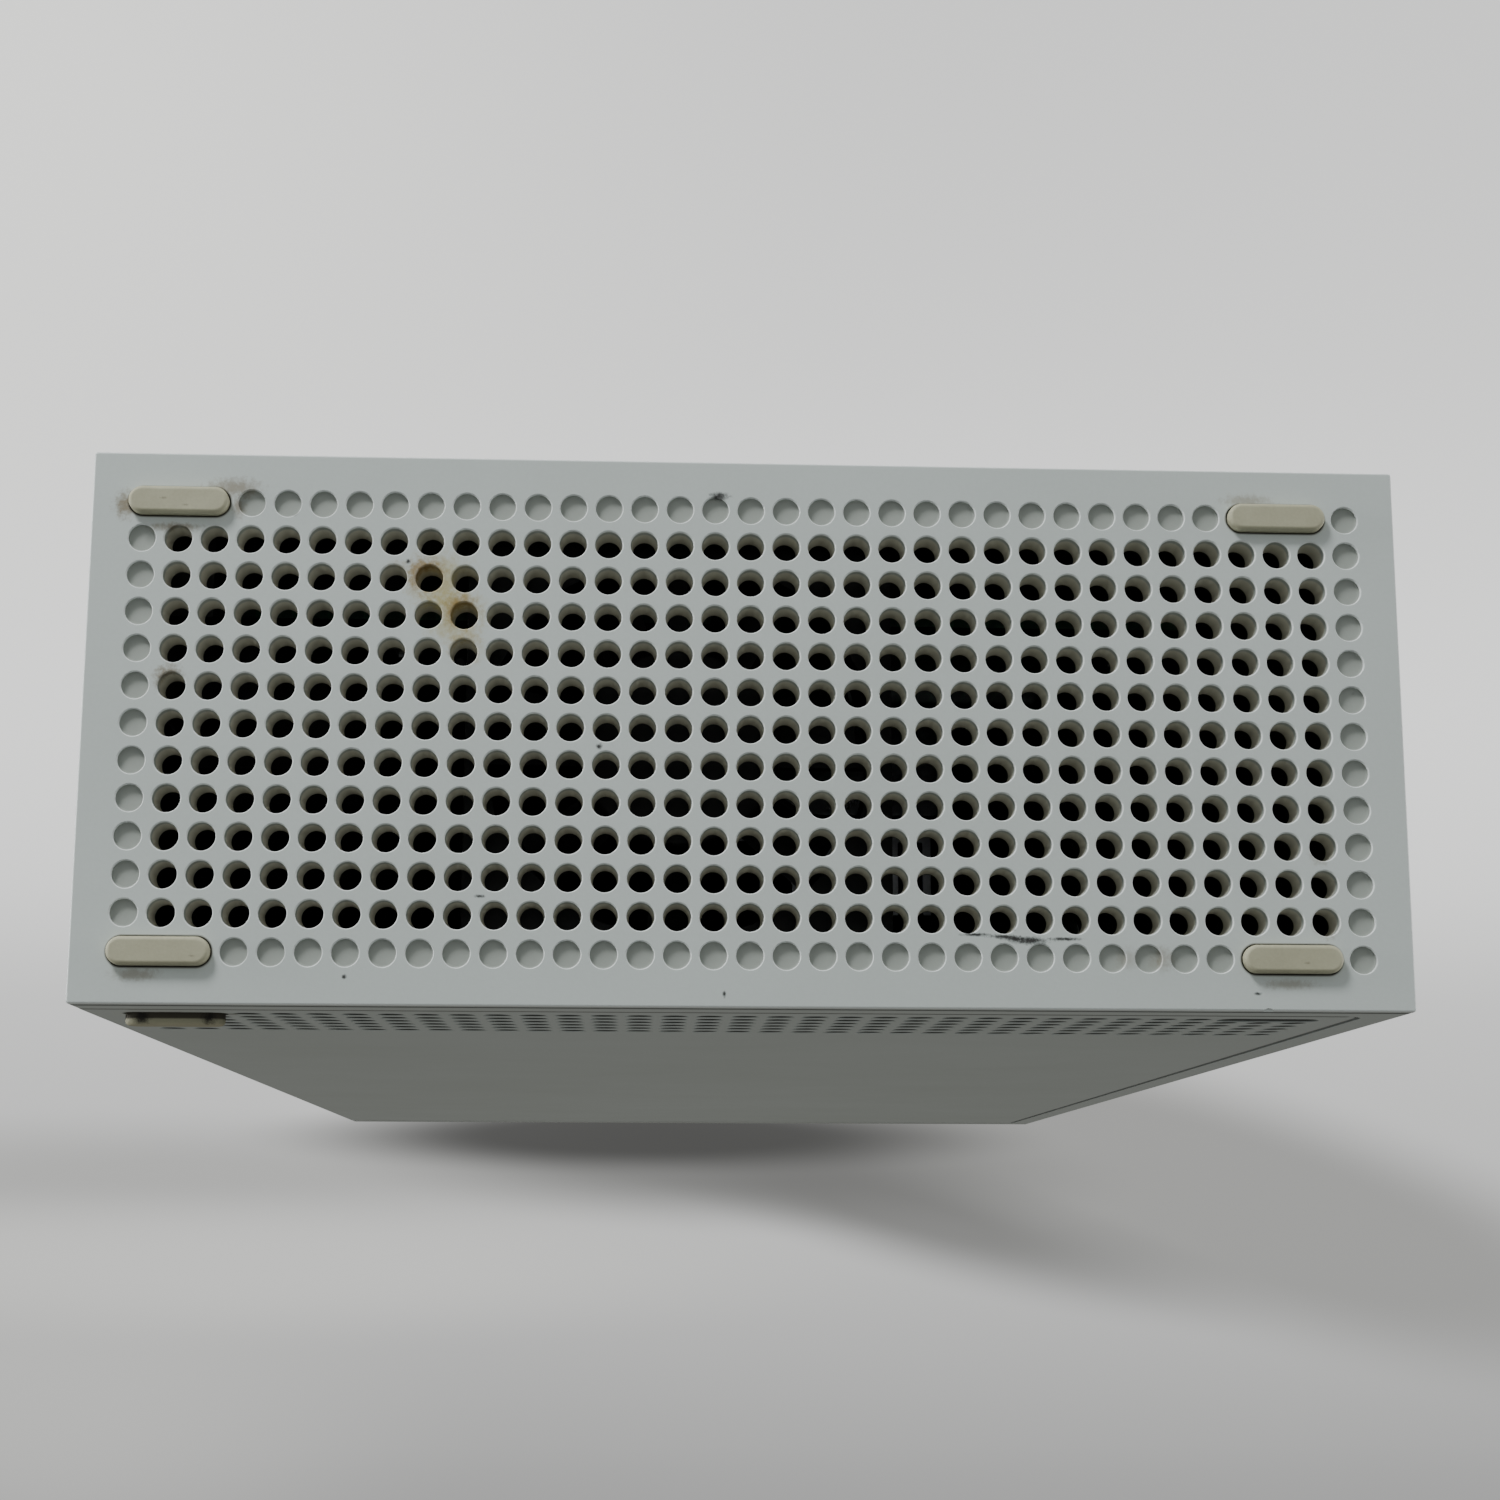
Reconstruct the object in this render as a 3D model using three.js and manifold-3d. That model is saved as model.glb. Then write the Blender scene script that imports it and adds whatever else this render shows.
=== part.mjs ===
// A vented tower router that stands on its foot end.
// Millimetres. X is the thickness, with the removable side cover on +X. Y is the depth, with the
// front at -Y and the sockets at +Y. Z is the height. The origin is on the floor, under the middle.

import * as THREE from 'three';
import { mergeVertices } from 'three/addons/utils/BufferGeometryUtils.js';
import Module from 'manifold-3d';

const wasm = await Module();
wasm.setup();

// ---------------------------------------------------------------- driving dimensions

const THICK = 63.5; // case, side to side
const DEPTH = 151; // case, front to rear
const HEIGHT = 275; // case, foot end to top end, without the feet
const WALL = 2.2; // moulded wall
const FIT = 0.35; // clearance between two pieces that meet

// The end plates show a thin edge all round, and a lip of theirs plugs into the shell.
const PLATE_EDGE = 1.3;
const PLATE_LIP = 2.7;

// The foot end carries a grid of vent holes. Its outer ring is blind, and the feet stand in it.
const GRID_MARGIN = 5.85;
const GRID_COLUMNS = 35;
const GRID_ROWS = 13;
const HOLE_DIAMETER = 3.2;
const HOLE_SIDES = 6; // a polygon of the same area stands for each round hole

// The top end has one long outlet slot for each open column of the grid.
const SLOT_WIDTH = 2.2;
const SLOT_LENGTH = 34;

// The side cover is an L: a side panel and the rear wall with the sockets.
const GROOVE = 0.45;
const END_RIM = 5.8;
const FRONT_RIM = 4;
const REAR_RIM = 6;
const COVER_CORNER = 2.5;
const VENT_ROWS = 6;
const VENT_FIRST = 11.6;
const VENT_STEP = 4.05;
const VENT_COLUMNS = GRID_COLUMNS - 1; // the grid's columns but the foremost

// Rubber feet
const FOOT_LENGTH = 11.35;
const FOOT_WIDTH = 3.2;
const FOOT_PROUD = 1.2;
const SIDE_FOOT_PROUD = 1.4;
const POCKET_DEPTH = 1.0;

// Main board, upright beside the plain side wall
const BOARD_THICK = 1.6;
const BOARD_STANDOFF = 8;
const BOARD_LOW = 28;
const BOARD_TOP_CLEARANCE = 20;
const BOARD_FRONT_GAP = 17.5; // from the front of the case to the board
const BOARD_REAR_GAP = 3.5;
const SCREW_DIAMETER = 2.8;
const SCREW_HEAD = 5.6;
const SCREW_HEAD_THICK = 1.2;

// Sockets, one above the other up the rear wall
const JACK_WIDTH = 16;
const JACK_HEIGHT = 13.5;
const JACK_DEPTH = 21;
const FIRST_SOCKET = 38;
const SOCKET_RECESS = 0.3;

// Push buttons
const POWER_BUTTON = 8;
const POWER_TRAVEL = 1.5;
const WPS_BUTTON = 7;
const WPS_TRAVEL = 1.2;
const RESET_BUTTON = 2.4;
const RESET_TRAVEL = 0.8;
const RESET_RECESS = 1.4;

// Cooling fan, flat above the foot end
const FAN_SIDE_MARGIN = 4.55;
const FAN_LOW = 8;
const FAN_THICK = 10;
const FAN_CENTRE_Y = 8;
const FAN_BLADES = 7;
const BRACKET_SHEET = 1;

// Heat sink on the processor
const SINK_SIDE = 42;
const SINK_BASE = 3;
const FIN_HEIGHT = 13;
const FINS = 8;

const LEAD_RADIUS = 0.65;

// Dust filter, a flat mesh behind the side vents
const FILTER_THICK = 1;
const FILTER_MARGIN = 4;

// ---------------------------------------------------------------- what follows from them

const halfThick = THICK / 2;
const halfDepth = DEPTH / 2;
const plateInner = PLATE_EDGE + FIT; // where the shell begins
const pitchX = (THICK - 2 * GRID_MARGIN) / (GRID_ROWS - 1);
const pitchY = (DEPTH - 2 * GRID_MARGIN) / (GRID_COLUMNS - 1);
const columnY = (column) => halfDepth - GRID_MARGIN - column * pitchY; // column 0 is at the rear
const rowX = (row) => GRID_MARGIN - halfThick + row * pitchX; // row 0 is on the plain side
const footColumns = [1, GRID_COLUMNS - 3];
const footRows = [0, GRID_ROWS - 1];
const coverLow = END_RIM + GROOVE;
const coverHigh = HEIGHT - coverLow;
const boardBack = WALL + BOARD_STANDOFF + FIT - halfThick;
const boardFace = boardBack + BOARD_THICK;
const boardHigh = HEIGHT - BOARD_TOP_CLEARANCE;
const boardFront = BOARD_FRONT_GAP - halfDepth;
const boardRear = halfDepth - BOARD_REAR_GAP;
const partFace = boardFace + FIT; // underside of what stands on the board
const socketStep = JACK_WIDTH + 2;
const socketZ = (step) => FIRST_SOCKET + step * socketStep;
const socketMouth = halfDepth - SOCKET_RECESS;
const jackX = partFace + JACK_HEIGHT / 2;
const fanSide = THICK - 2 * (WALL + FAN_SIDE_MARGIN);
const fanHigh = FAN_LOW + FAN_THICK;

// ---------------------------------------------------------------- materials

const plastic = (color, roughness) => new THREE.MeshStandardMaterial({ color, roughness, metalness: 0 });
const metal = (color, roughness) => new THREE.MeshStandardMaterial({ color, roughness, metalness: 1 });

const casePlastic = plastic(0xcfd4d0, 0.5);
const footRubber = plastic(0xb9b7a0, 0.75);
const buttonPlastic = plastic(0xb8bdb9, 0.45);
const darkPlastic = plastic(0x1f2123, 0.5);
const clearPlastic = plastic(0xe9efec, 0.2);
const circuitBoard = plastic(0x1f5a38, 0.5);
const antennaBoard = plastic(0x26382e, 0.5);
const padSilicone = plastic(0x8d95a5, 0.8);
const leadSheath = plastic(0x2a2a2a, 0.5);
const sheetSteel = metal(0xb4b6b8, 0.35);
const coatedSteel = plastic(0x1c1d1e, 0.55);
const filterMesh = plastic(0x151617, 0.8);
const aluminium = metal(0xc7c9cb, 0.4);
const screwSteel = metal(0x8e8f90, 0.3);

// ---------------------------------------------------------------- solids

// A closed geometry as a solid that can be cut and joined.
function toSolid(geometry) {
  const bare = geometry.clone();
  bare.deleteAttribute('normal');
  bare.deleteAttribute('uv');
  const merged = mergeVertices(bare, 1e-4);
  return new wasm.Manifold(
    new wasm.Mesh({
      numProp: 3,
      vertProperties: merged.attributes.position.array,
      triVerts: new Uint32Array(merged.index.array),
    }),
  );
}

function toGeometry(solid) {
  const { vertProperties, triVerts } = solid.getMesh();
  const indexed = new THREE.BufferGeometry();
  indexed.setAttribute('position', new THREE.BufferAttribute(vertProperties, 3));
  indexed.setIndex(new THREE.BufferAttribute(triVerts, 1));
  const flat = indexed.toNonIndexed();
  flat.computeVertexNormals();
  return flat;
}

// A block between two planes on each axis.
function block([x0, x1], [y0, y1], [z0, z1]) {
  const geometry = new THREE.BoxGeometry(x1 - x0, y1 - y0, z1 - z0);
  geometry.translate((x0 + x1) / 2, (y0 + y1) / 2, (z0 + z1) / 2);
  return toSolid(geometry);
}

// Which way a drawn outline is pushed: its two drawing axes, then the pushing axis.
const axisX = new THREE.Vector3(1, 0, 0);
const axisY = new THREE.Vector3(0, 1, 0);
const axisZ = new THREE.Vector3(0, 0, 1);
const ALONG = {
  x: new THREE.Matrix4().makeBasis(axisY, axisZ, axisX), // outline drawn in (y, z)
  y: new THREE.Matrix4().makeBasis(axisZ, axisX, axisY), // outline drawn in (z, x)
  z: new THREE.Matrix4().makeBasis(axisX, axisY, axisZ), // outline drawn in (x, y)
};

function push(outlines, along, [from, to], curveSegments = 6) {
  const geometry = new THREE.ExtrudeGeometry(outlines, {
    depth: to - from,
    bevelEnabled: false,
    curveSegments,
  });
  geometry.translate(0, 0, from);
  geometry.applyMatrix4(ALONG[along]);
  return toSolid(geometry);
}

const joined = (first, ...others) => others.reduce((sum, other) => sum.add(other), first);
const cutBy = (first, ...others) => others.reduce((rest, other) => rest.subtract(other), first);

// ---------------------------------------------------------------- outlines

// A regular polygon with the area of a circle, one flat side down.
function roundOutline(u, v, diameter, sides) {
  const corner = (diameter / 2) * Math.sqrt((2 * Math.PI) / (sides * Math.sin((2 * Math.PI) / sides)));
  const points = Array.from({ length: sides }, (_, i) => {
    const turn = ((i + 0.5) * 2 * Math.PI) / sides;
    return new THREE.Vector2(u + corner * Math.cos(turn), v + corner * Math.sin(turn));
  });
  return new THREE.Shape(points);
}

const ventHole = (u, v) => roundOutline(u, v, HOLE_DIAMETER, HOLE_SIDES);

// A slot with round ends, its length along the first drawing axis.
function pillOutline(u, v, length, width) {
  const shape = new THREE.Shape();
  const reach = (length - width) / 2;
  shape.absarc(u + reach, v, width / 2, -Math.PI / 2, Math.PI / 2);
  shape.absarc(u - reach, v, width / 2, Math.PI / 2, (3 * Math.PI) / 2);
  return shape;
}

// The side panel's outline in (y, z): two round corners at the front, square at the rear.
function panelOutline(front, rear, low, high, radius) {
  const shape = new THREE.Shape();
  shape.moveTo(rear, low);
  shape.lineTo(rear, high);
  shape.lineTo(front + radius, high);
  shape.absarc(front + radius, high - radius, radius, Math.PI / 2, Math.PI);
  shape.lineTo(front, low + radius);
  shape.absarc(front + radius, low + radius, radius, Math.PI, (3 * Math.PI) / 2);
  return shape;
}

// ---------------------------------------------------------------- places that pieces share

const boardScrews = [boardFront + 8, boardRear - 28].flatMap((y) => [
  [y, BOARD_LOW + 12],
  [y, boardHigh - 12],
]);
const coverScrewX = partFace;
const coverScrewZs = [coverLow + 8, coverHigh - 8];
const coverBossDepth = 10;
const screwSeat = halfDepth - WALL + 0.6; // under the heads, inside the rear wall
const buttonFlangeDepth = 1.3;
const buttonBody = 7;
const buttonX = partFace + 6;
const powerZ = socketZ(9.1);
const resetZ = socketZ(8.25);
const lightLength = 34;
const lightWidth = 2.6;
const lightZ = HEIGHT - 30 - lightLength / 2;
const wpsZ = lightZ - lightLength / 2 - 14;
const lightBoardFront = halfDepth - 13.6; // distance of its outer face from the middle
const lightBoardThick = 1.2;
const frontPosts = [wpsZ - 7, lightZ + 14];

// ---------------------------------------------------------------- casing

function mainShell() {
  const height = [plateInner, HEIGHT - plateInner];
  const outside = block([-halfThick, halfThick], [-halfDepth, halfDepth], height);
  const inside = block(
    [WALL - halfThick, halfThick - WALL],
    [WALL - halfDepth, halfDepth - WALL],
    [0, HEIGHT],
  );
  const beyond = 5;
  const windowOutline = panelOutline(
    FRONT_RIM - halfDepth,
    halfDepth + beyond,
    END_RIM,
    HEIGHT - END_RIM,
    COVER_CORNER + GROOVE,
  );
  const sideWindow = push(windowOutline, 'x', [halfThick - WALL - 1, halfThick + beyond]);
  const rearWindow = block(
    [REAR_RIM - halfThick, halfThick + beyond],
    [halfDepth - WALL - 1, halfDepth + beyond],
    [END_RIM, HEIGHT - END_RIM],
  );
  const throughFront = [-halfDepth - 1, -halfDepth + WALL + 1];
  const wpsHole = push(roundOutline(wpsZ, 0, WPS_BUTTON + 2 * FIT, 16), 'y', throughFront);
  const lightOutline = pillOutline(lightZ, 0, lightLength + 2 * FIT, lightWidth + 2 * FIT);
  const lightSlot = push(lightOutline, 'y', throughFront);
  let shell = cutBy(outside, inside, sideWindow, rearWindow, wpsHole, lightSlot);

  const wallFace = WALL - halfThick;
  for (const [y, z] of boardScrews) {
    const boss = push(roundOutline(y, z, 7, 8), 'x', [wallFace - 1, wallFace + BOARD_STANDOFF]);
    const bore = push(roundOutline(y, z, SCREW_DIAMETER + 2 * FIT, 8), 'x', [wallFace + 1, boardFace]);
    shell = cutBy(joined(shell, boss), bore);
  }
  for (const z of coverScrewZs) {
    const face = halfDepth - WALL - FIT;
    const boss = block([wallFace - 1, coverScrewX + 4.5], [face - coverBossDepth, face], [z - 5, z + 5]);
    const bore = push(roundOutline(z, coverScrewX, SCREW_DIAMETER + 2 * FIT, 8), 'y', [
      face - coverBossDepth + 1,
      face + 1,
    ]);
    shell = cutBy(joined(shell, boss), bore);
  }
  for (const z of frontPosts) {
    const post = block([5, 10], [-halfDepth + WALL - 1, -lightBoardFront - FIT], [z - 2.5, z + 2.5]);
    shell = joined(shell, post);
  }
  return shell;
}

// An end plate: a thin slab that shows, and a lip inside the shell. Drawn for the foot end.
function endPlate() {
  const slab = block([-halfThick, halfThick], [-halfDepth, halfDepth], [0, PLATE_EDGE]);
  const lipX = halfThick - WALL - FIT;
  const lipY = halfDepth - WALL - FIT;
  const lip = block([-lipX, lipX], [-lipY, lipY], [PLATE_EDGE / 2, PLATE_EDGE + PLATE_LIP]);
  return joined(slab, lip);
}

function footEndGrille() {
  const through = [-1, PLATE_EDGE + PLATE_LIP + 1];
  const holes = [];
  for (let row = 1; row < GRID_ROWS - 1; row += 1) {
    for (let column = 1; column < GRID_COLUMNS - 1; column += 1) {
      holes.push(ventHole(rowX(row), columnY(column)));
    }
  }
  const pockets = [];
  for (const row of footRows) {
    for (const column of footColumns) {
      pockets.push(
        push(pillOutline(0, 0, FOOT_LENGTH + 2 * FIT, FOOT_WIDTH + 2 * FIT), 'z', [-1, POCKET_DEPTH])
          .rotate([0, 0, 90])
          .translate([rowX(row), columnY(column), 0]),
      );
    }
  }
  return cutBy(endPlate(), push(holes, 'z', through), ...pockets);
}

function topEndGrille() {
  const slots = [];
  for (let column = 1; column < GRID_COLUMNS - 1; column += 1) {
    const y = columnY(column);
    slots.push(
      block([-SLOT_LENGTH / 2, SLOT_LENGTH / 2], [y - SLOT_WIDTH / 2, y + SLOT_WIDTH / 2], [
        -1,
        PLATE_EDGE + PLATE_LIP + 1,
      ]),
    );
  }
  return cutBy(endPlate(), ...slots);
}

function sideCover() {
  const outerX = [halfThick - WALL, halfThick];
  const rearY = [halfDepth - WALL, halfDepth];
  const panel = push(
    panelOutline(FRONT_RIM + GROOVE - halfDepth, halfDepth, coverLow, coverHigh, COVER_CORNER),
    'x',
    outerX,
  );
  const rearWall = block([REAR_RIM + GROOVE - halfThick, halfThick], rearY, [coverLow, coverHigh]);

  const vents = [];
  for (let row = 0; row < VENT_ROWS; row += 1) {
    for (let column = 0; column < VENT_COLUMNS; column += 1) {
      const underFoot = row === 0 && footColumns.some((foot) => Math.abs(foot - column) <= 1);
      if (!underFoot) vents.push(ventHole(columnY(column), VENT_FIRST + row * VENT_STEP));
    }
  }
  const ventCut = push(vents, 'x', [halfThick - WALL - 1, halfThick + 1]);
  const pockets = footColumns.map((column) =>
    push(
      pillOutline(columnY(column), VENT_FIRST, FOOT_LENGTH + 2 * FIT, FOOT_WIDTH + 2 * FIT),
      'x',
      [halfThick - POCKET_DEPTH, halfThick + 1],
    ),
  );

  // Everything that looks out through the rear wall
  const throughRear = [halfDepth - WALL - 1, halfDepth + 1];
  const mouth = (x, z, high, wide) =>
    block([x - high / 2 - FIT, x + high / 2 + FIT], throughRear, [z - wide / 2 - FIT, z + wide / 2 + FIT]);
  const roundMouth = (x, z, diameter, sides = 16) =>
    push(roundOutline(z, x, diameter + 2 * FIT, sides), 'y', throughRear);
  const screwHeads = coverScrewZs.flatMap((z) => [
    push(roundOutline(z, coverScrewX, SCREW_HEAD + 2 * FIT, 12), 'y', [screwSeat, halfDepth + 1]),
    roundMouth(coverScrewX, z, SCREW_DIAMETER, 8),
  ]);
  return cutBy(
    joined(panel, rearWall),
    ventCut,
    ...pockets,
    ...jackZs.map((z) => mouth(jackX, z, JACK_HEIGHT, JACK_WIDTH)),
    mouth(usbX, usbZ, USB_HEIGHT, USB_WIDTH),
    mouth(inletX, inletZ, INLET_HEIGHT, INLET_WIDTH),
    roundMouth(buttonX, powerZ, POWER_BUTTON),
    roundMouth(buttonX, resetZ, RESET_BUTTON, 8),
    ...screwHeads,
  );
}

// A pill-shaped rubber foot, drawn lying along Y with its standing face down at -proud.
function foot(proud) {
  const seat = POCKET_DEPTH - FIT;
  return push(pillOutline(0, 0, FOOT_LENGTH, FOOT_WIDTH), 'z', [-proud, seat]).rotate([0, 0, 90]);
}

// ---------------------------------------------------------------- sockets

const USB_WIDTH = 13.2;
const USB_HEIGHT = 5.8;
const USB_DEPTH = 14;
const INLET_WIDTH = 9;
const INLET_HEIGHT = 11;
const INLET_DEPTH = 14;
const usbX = partFace + USB_HEIGHT / 2;
const usbZ = socketZ(7.35);
const inletX = partFace + INLET_HEIGHT / 2;
const inletZ = socketZ(0);
const jackZs = [1.5, 3, 4, 5, 6].map(socketZ);

// Sockets are drawn with the middle of their mouth at the origin, opening towards +Y.
function networkJack() {
  const body = block([-JACK_HEIGHT / 2, JACK_HEIGHT / 2], [-JACK_DEPTH, 0], [
    -JACK_WIDTH / 2,
    JACK_WIDTH / 2,
  ]);
  const plugSpace = block([-3.4, 3.4], [-14, 1], [-5.9, 5.9]);
  const latchSpace = block([3, 5.4], [-14, 1], [-3.1, 3.1]);
  return cutBy(body, plugSpace, latchSpace);
}

function usbSocket() {
  const shellThick = 0.45;
  const body = block([-USB_HEIGHT / 2, USB_HEIGHT / 2], [-USB_DEPTH, 0], [-USB_WIDTH / 2, USB_WIDTH / 2]);
  const hollow = block(
    [shellThick - USB_HEIGHT / 2, USB_HEIGHT / 2 - shellThick],
    [-11, 1],
    [shellThick - USB_WIDTH / 2, USB_WIDTH / 2 - shellThick],
  );
  const tongue = block([0.2, 2], [-12, -0.8], [-5.5, 5.5]);
  return joined(cutBy(body, hollow), tongue);
}

function powerInlet() {
  const body = block([-INLET_HEIGHT / 2, INLET_HEIGHT / 2], [-INLET_DEPTH, 0], [
    -INLET_WIDTH / 2,
    INLET_WIDTH / 2,
  ]);
  const barrel = push(roundOutline(0, 0, 6.2, 16), 'y', [-10, 1]);
  const pin = push(roundOutline(0, 0, 2, 8), 'y', [-11, -0.8]);
  return joined(cutBy(body, barrel), pin);
}

// ---------------------------------------------------------------- buttons

// A button is drawn with its face at the origin, looking along +Y, and is pressed towards -Y.
// The flange behind the wall keeps it in. recess is how far its face lies below the wall's.
function pushButton(diameter, recess, sides) {
  const flangeTop = recess - WALL - FIT;
  const cap = push(roundOutline(0, 0, diameter, sides), 'y', [-buttonBody, 0]);
  const flangeOutline = roundOutline(0, 0, diameter + 2.4, sides);
  const flange = push(flangeOutline, 'y', [flangeTop - buttonFlangeDepth, flangeTop]);
  return joined(cap, flange);
}

// The switch behind a button: a square body with a short plunger that ends at the origin.
function tactSwitch(side, length) {
  const body = block([-side / 2, side / 2], [-length, -1.2], [-side / 2, side / 2]);
  const plunger = push(roundOutline(0, 0, 3, 8), 'y', [-1.5, 0]);
  return joined(body, plunger);
}

// ---------------------------------------------------------------- electronics

function mainBoard() {
  const slab = block([boardBack, boardFace], [boardFront, boardRear], [BOARD_LOW, boardHigh]);
  const holes = boardScrews.map(([y, z]) => roundOutline(y, z, SCREW_DIAMETER + 2 * FIT, 8));
  return cutBy(slab, push(holes, 'x', [boardBack - 1, boardFace + 1]));
}

// A pressed can, open towards the board, its top at height along +X.
function shieldCan(deep, tall, height) {
  const sheet = 0.5;
  const outside = block([0, height], [-deep / 2, deep / 2], [-tall / 2, tall / 2]);
  const inside = block([-1, height - sheet], [sheet - deep / 2, deep / 2 - sheet], [
    sheet - tall / 2,
    tall / 2 - sheet,
  ]);
  return cutBy(outside, inside);
}

function heatSink() {
  const half = SINK_SIDE / 2;
  let sink = block([0, SINK_BASE], [-half, half], [-half, half]);
  const finThick = 1.6;
  const finStep = (SINK_SIDE - finThick) / (FINS - 1);
  for (let i = 0; i < FINS; i += 1) {
    const y = i * finStep - half;
    const fin = block([SINK_BASE - 0.5, SINK_BASE + FIN_HEIGHT], [y, y + finThick], [-half, half]);
    sink = joined(sink, fin);
  }
  return sink;
}

// A screw drawn along +Y: the head's outer face at the origin, the shank going towards -Y.
function screw(shankLength) {
  const head = push(roundOutline(0, 0, SCREW_HEAD, 12), 'y', [-SCREW_HEAD_THICK, 0]);
  const shank = push(roundOutline(0, 0, SCREW_DIAMETER, 8), 'y', [-SCREW_HEAD_THICK - shankLength, -0.6]);
  const driveSlot = block([-0.5, 0.5], [-0.6, 1], [-1.8, 1.8]);
  return cutBy(joined(head, shank), driveSlot);
}

// ---------------------------------------------------------------- fan

const boreRadius = fanSide / 2 - 2.2;
const hubRadius = fanSide * 0.24;

// The frame's middle is at the origin. Four struts hold the motor plate at its upper face.
function fanFrame() {
  const half = fanSide / 2;
  const square = block([-half, half], [-half, half], [0, FAN_THICK]);
  const bore = push(roundOutline(0, 0, 2 * boreRadius, 24), 'z', [-1, FAN_THICK + 1]);
  const strutZ = [FAN_THICK - 1.4, FAN_THICK];
  const motorPlate = push(roundOutline(0, 0, 2 * hubRadius, 12), 'z', strutZ);
  const reach = boreRadius + 1;
  const strutX = block([-reach, reach], [-1.2, 1.2], strutZ);
  const strutY = block([-1.2, 1.2], [-reach, reach], strutZ);
  return joined(cutBy(square, bore), motorPlate, strutX, strutY);
}

function fanRotor() {
  const height = FAN_THICK - 1.4 - FIT - 0.6;
  let rotor = push(roundOutline(0, 0, 2 * hubRadius, 16), 'z', [0, height]);
  const tip = boreRadius - 0.8;
  const pitchAngle = 38;
  for (let i = 0; i < FAN_BLADES; i += 1) {
    const blade = block([hubRadius - 1.5, tip], [-4.2, 4.2], [-0.45, 0.45])
      .rotate([pitchAngle, 0, 0])
      .translate([0, 0, height / 2])
      .rotate([0, 0, (360 / FAN_BLADES) * i]);
    rotor = joined(rotor, blade);
  }
  return rotor;
}

// The sheet bracket over the fan, with a flange against the plain side wall.
function fanBracket() {
  const half = fanSide / 2;
  const sheet = [0, BRACKET_SHEET];
  const flangeX = WALL + FIT - halfThick;
  const plate = block([-half, half], [-half, half], sheet);
  const arm = block([flangeX, 1 - half], [-half * 0.6, half * 0.6], sheet);
  const flange = block([flangeX, flangeX + BRACKET_SHEET], [-half * 0.6, half * 0.6], [0, 14]);
  const bore = push(roundOutline(0, 0, 2 * boreRadius, 24), 'z', [-1, BRACKET_SHEET + 1]);
  return joined(cutBy(plate, bore), arm, flange);
}

// ---------------------------------------------------------------- leads

// A round lead through the given points.
function lead(points, steps = 8) {
  const path = new THREE.CatmullRomCurve3(points.map((point) => new THREE.Vector3(...point)));
  const section = new THREE.Shape();
  section.absarc(0, 0, LEAD_RADIUS, 0, 2 * Math.PI);
  const geometry = new THREE.ExtrudeGeometry(section, { extrudePath: path, steps, curveSegments: 3 });
  return toSolid(geometry);
}

// ---------------------------------------------------------------- assembly

const router = new THREE.Group();
const caseFrame = new THREE.Group(); // its origin is in the middle of the foot end's face
caseFrame.position.set(-SIDE_FOOT_PROUD / 2, 0, FOOT_PROUD);
router.add(caseFrame);

function place(name, solid, material, position = [0, 0, 0], rotation = [0, 0, 0]) {
  const mesh = new THREE.Mesh(toGeometry(solid), material);
  mesh.name = name;
  mesh.position.set(...position);
  mesh.rotation.set(...rotation);
  caseFrame.add(mesh);
}

place('main_shell', mainShell(), casePlastic);
place('side_cover', sideCover(), casePlastic);
place('foot_end_grille', footEndGrille(), casePlastic);
place('top_end_grille', topEndGrille(), casePlastic, [0, 0, HEIGHT], [Math.PI, 0, 0]);

const footNames = { 0: 'plain_side', [GRID_ROWS - 1]: 'cover_side' };
for (const row of footRows) {
  for (const column of footColumns) {
    const end = column < GRID_COLUMNS / 2 ? 'rear' : 'front';
    const name = `base_foot_${end}_${footNames[row]}`;
    place(name, foot(FOOT_PROUD), footRubber, [rowX(row), columnY(column), 0]);
  }
}
const sideFootPlace = [halfThick, columnY(footColumns[0]), VENT_FIRST];
place('side_foot_rear', foot(SIDE_FOOT_PROUD), footRubber, sideFootPlace, [0, -Math.PI / 2, 0]);

place('main_board', mainBoard(), circuitBoard);
const jackNames = ['wan_jack', 'lan_jack_1', 'lan_jack_2', 'lan_jack_3', 'lan_jack_4'];
jackNames.forEach((name, i) => place(name, networkJack(), darkPlastic, [jackX, socketMouth, jackZs[i]]));
place('usb_socket', usbSocket(), sheetSteel, [usbX, socketMouth, usbZ]);
place('power_inlet', powerInlet(), darkPlastic, [inletX, socketMouth, inletZ]);

const facePlay = 0.1; // a resting button's face lies this far below the wall's
const pressed = (recess, travel) => halfDepth - recess - buttonBody - travel - FIT;
place('power_button', pushButton(POWER_BUTTON, facePlay, 16), buttonPlastic, [
  buttonX,
  halfDepth - facePlay,
  powerZ,
]);
place('power_switch', tactSwitch(8, 9), darkPlastic, [buttonX, pressed(facePlay, POWER_TRAVEL), powerZ]);
place('reset_button', pushButton(RESET_BUTTON, RESET_RECESS, 8), buttonPlastic, [
  buttonX,
  halfDepth - RESET_RECESS,
  resetZ,
]);
const resetSwitchFace = pressed(RESET_RECESS, RESET_TRAVEL);
place('reset_switch', tactSwitch(6, 7), darkPlastic, [buttonX, resetSwitchFace, resetZ]);
place(
  'wps_button',
  pushButton(WPS_BUTTON, facePlay, 16),
  buttonPlastic,
  [0, facePlay - halfDepth, wpsZ],
  [0, 0, Math.PI],
);
const wpsSwitchFace = pressed(facePlay, WPS_TRAVEL);
const wpsSwitchLength = wpsSwitchFace - lightBoardFront - FIT;
const wpsSwitch = tactSwitch(6, wpsSwitchLength);
place('wps_switch', wpsSwitch, darkPlastic, [0, -wpsSwitchFace, wpsZ], [0, 0, Math.PI]);

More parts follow.
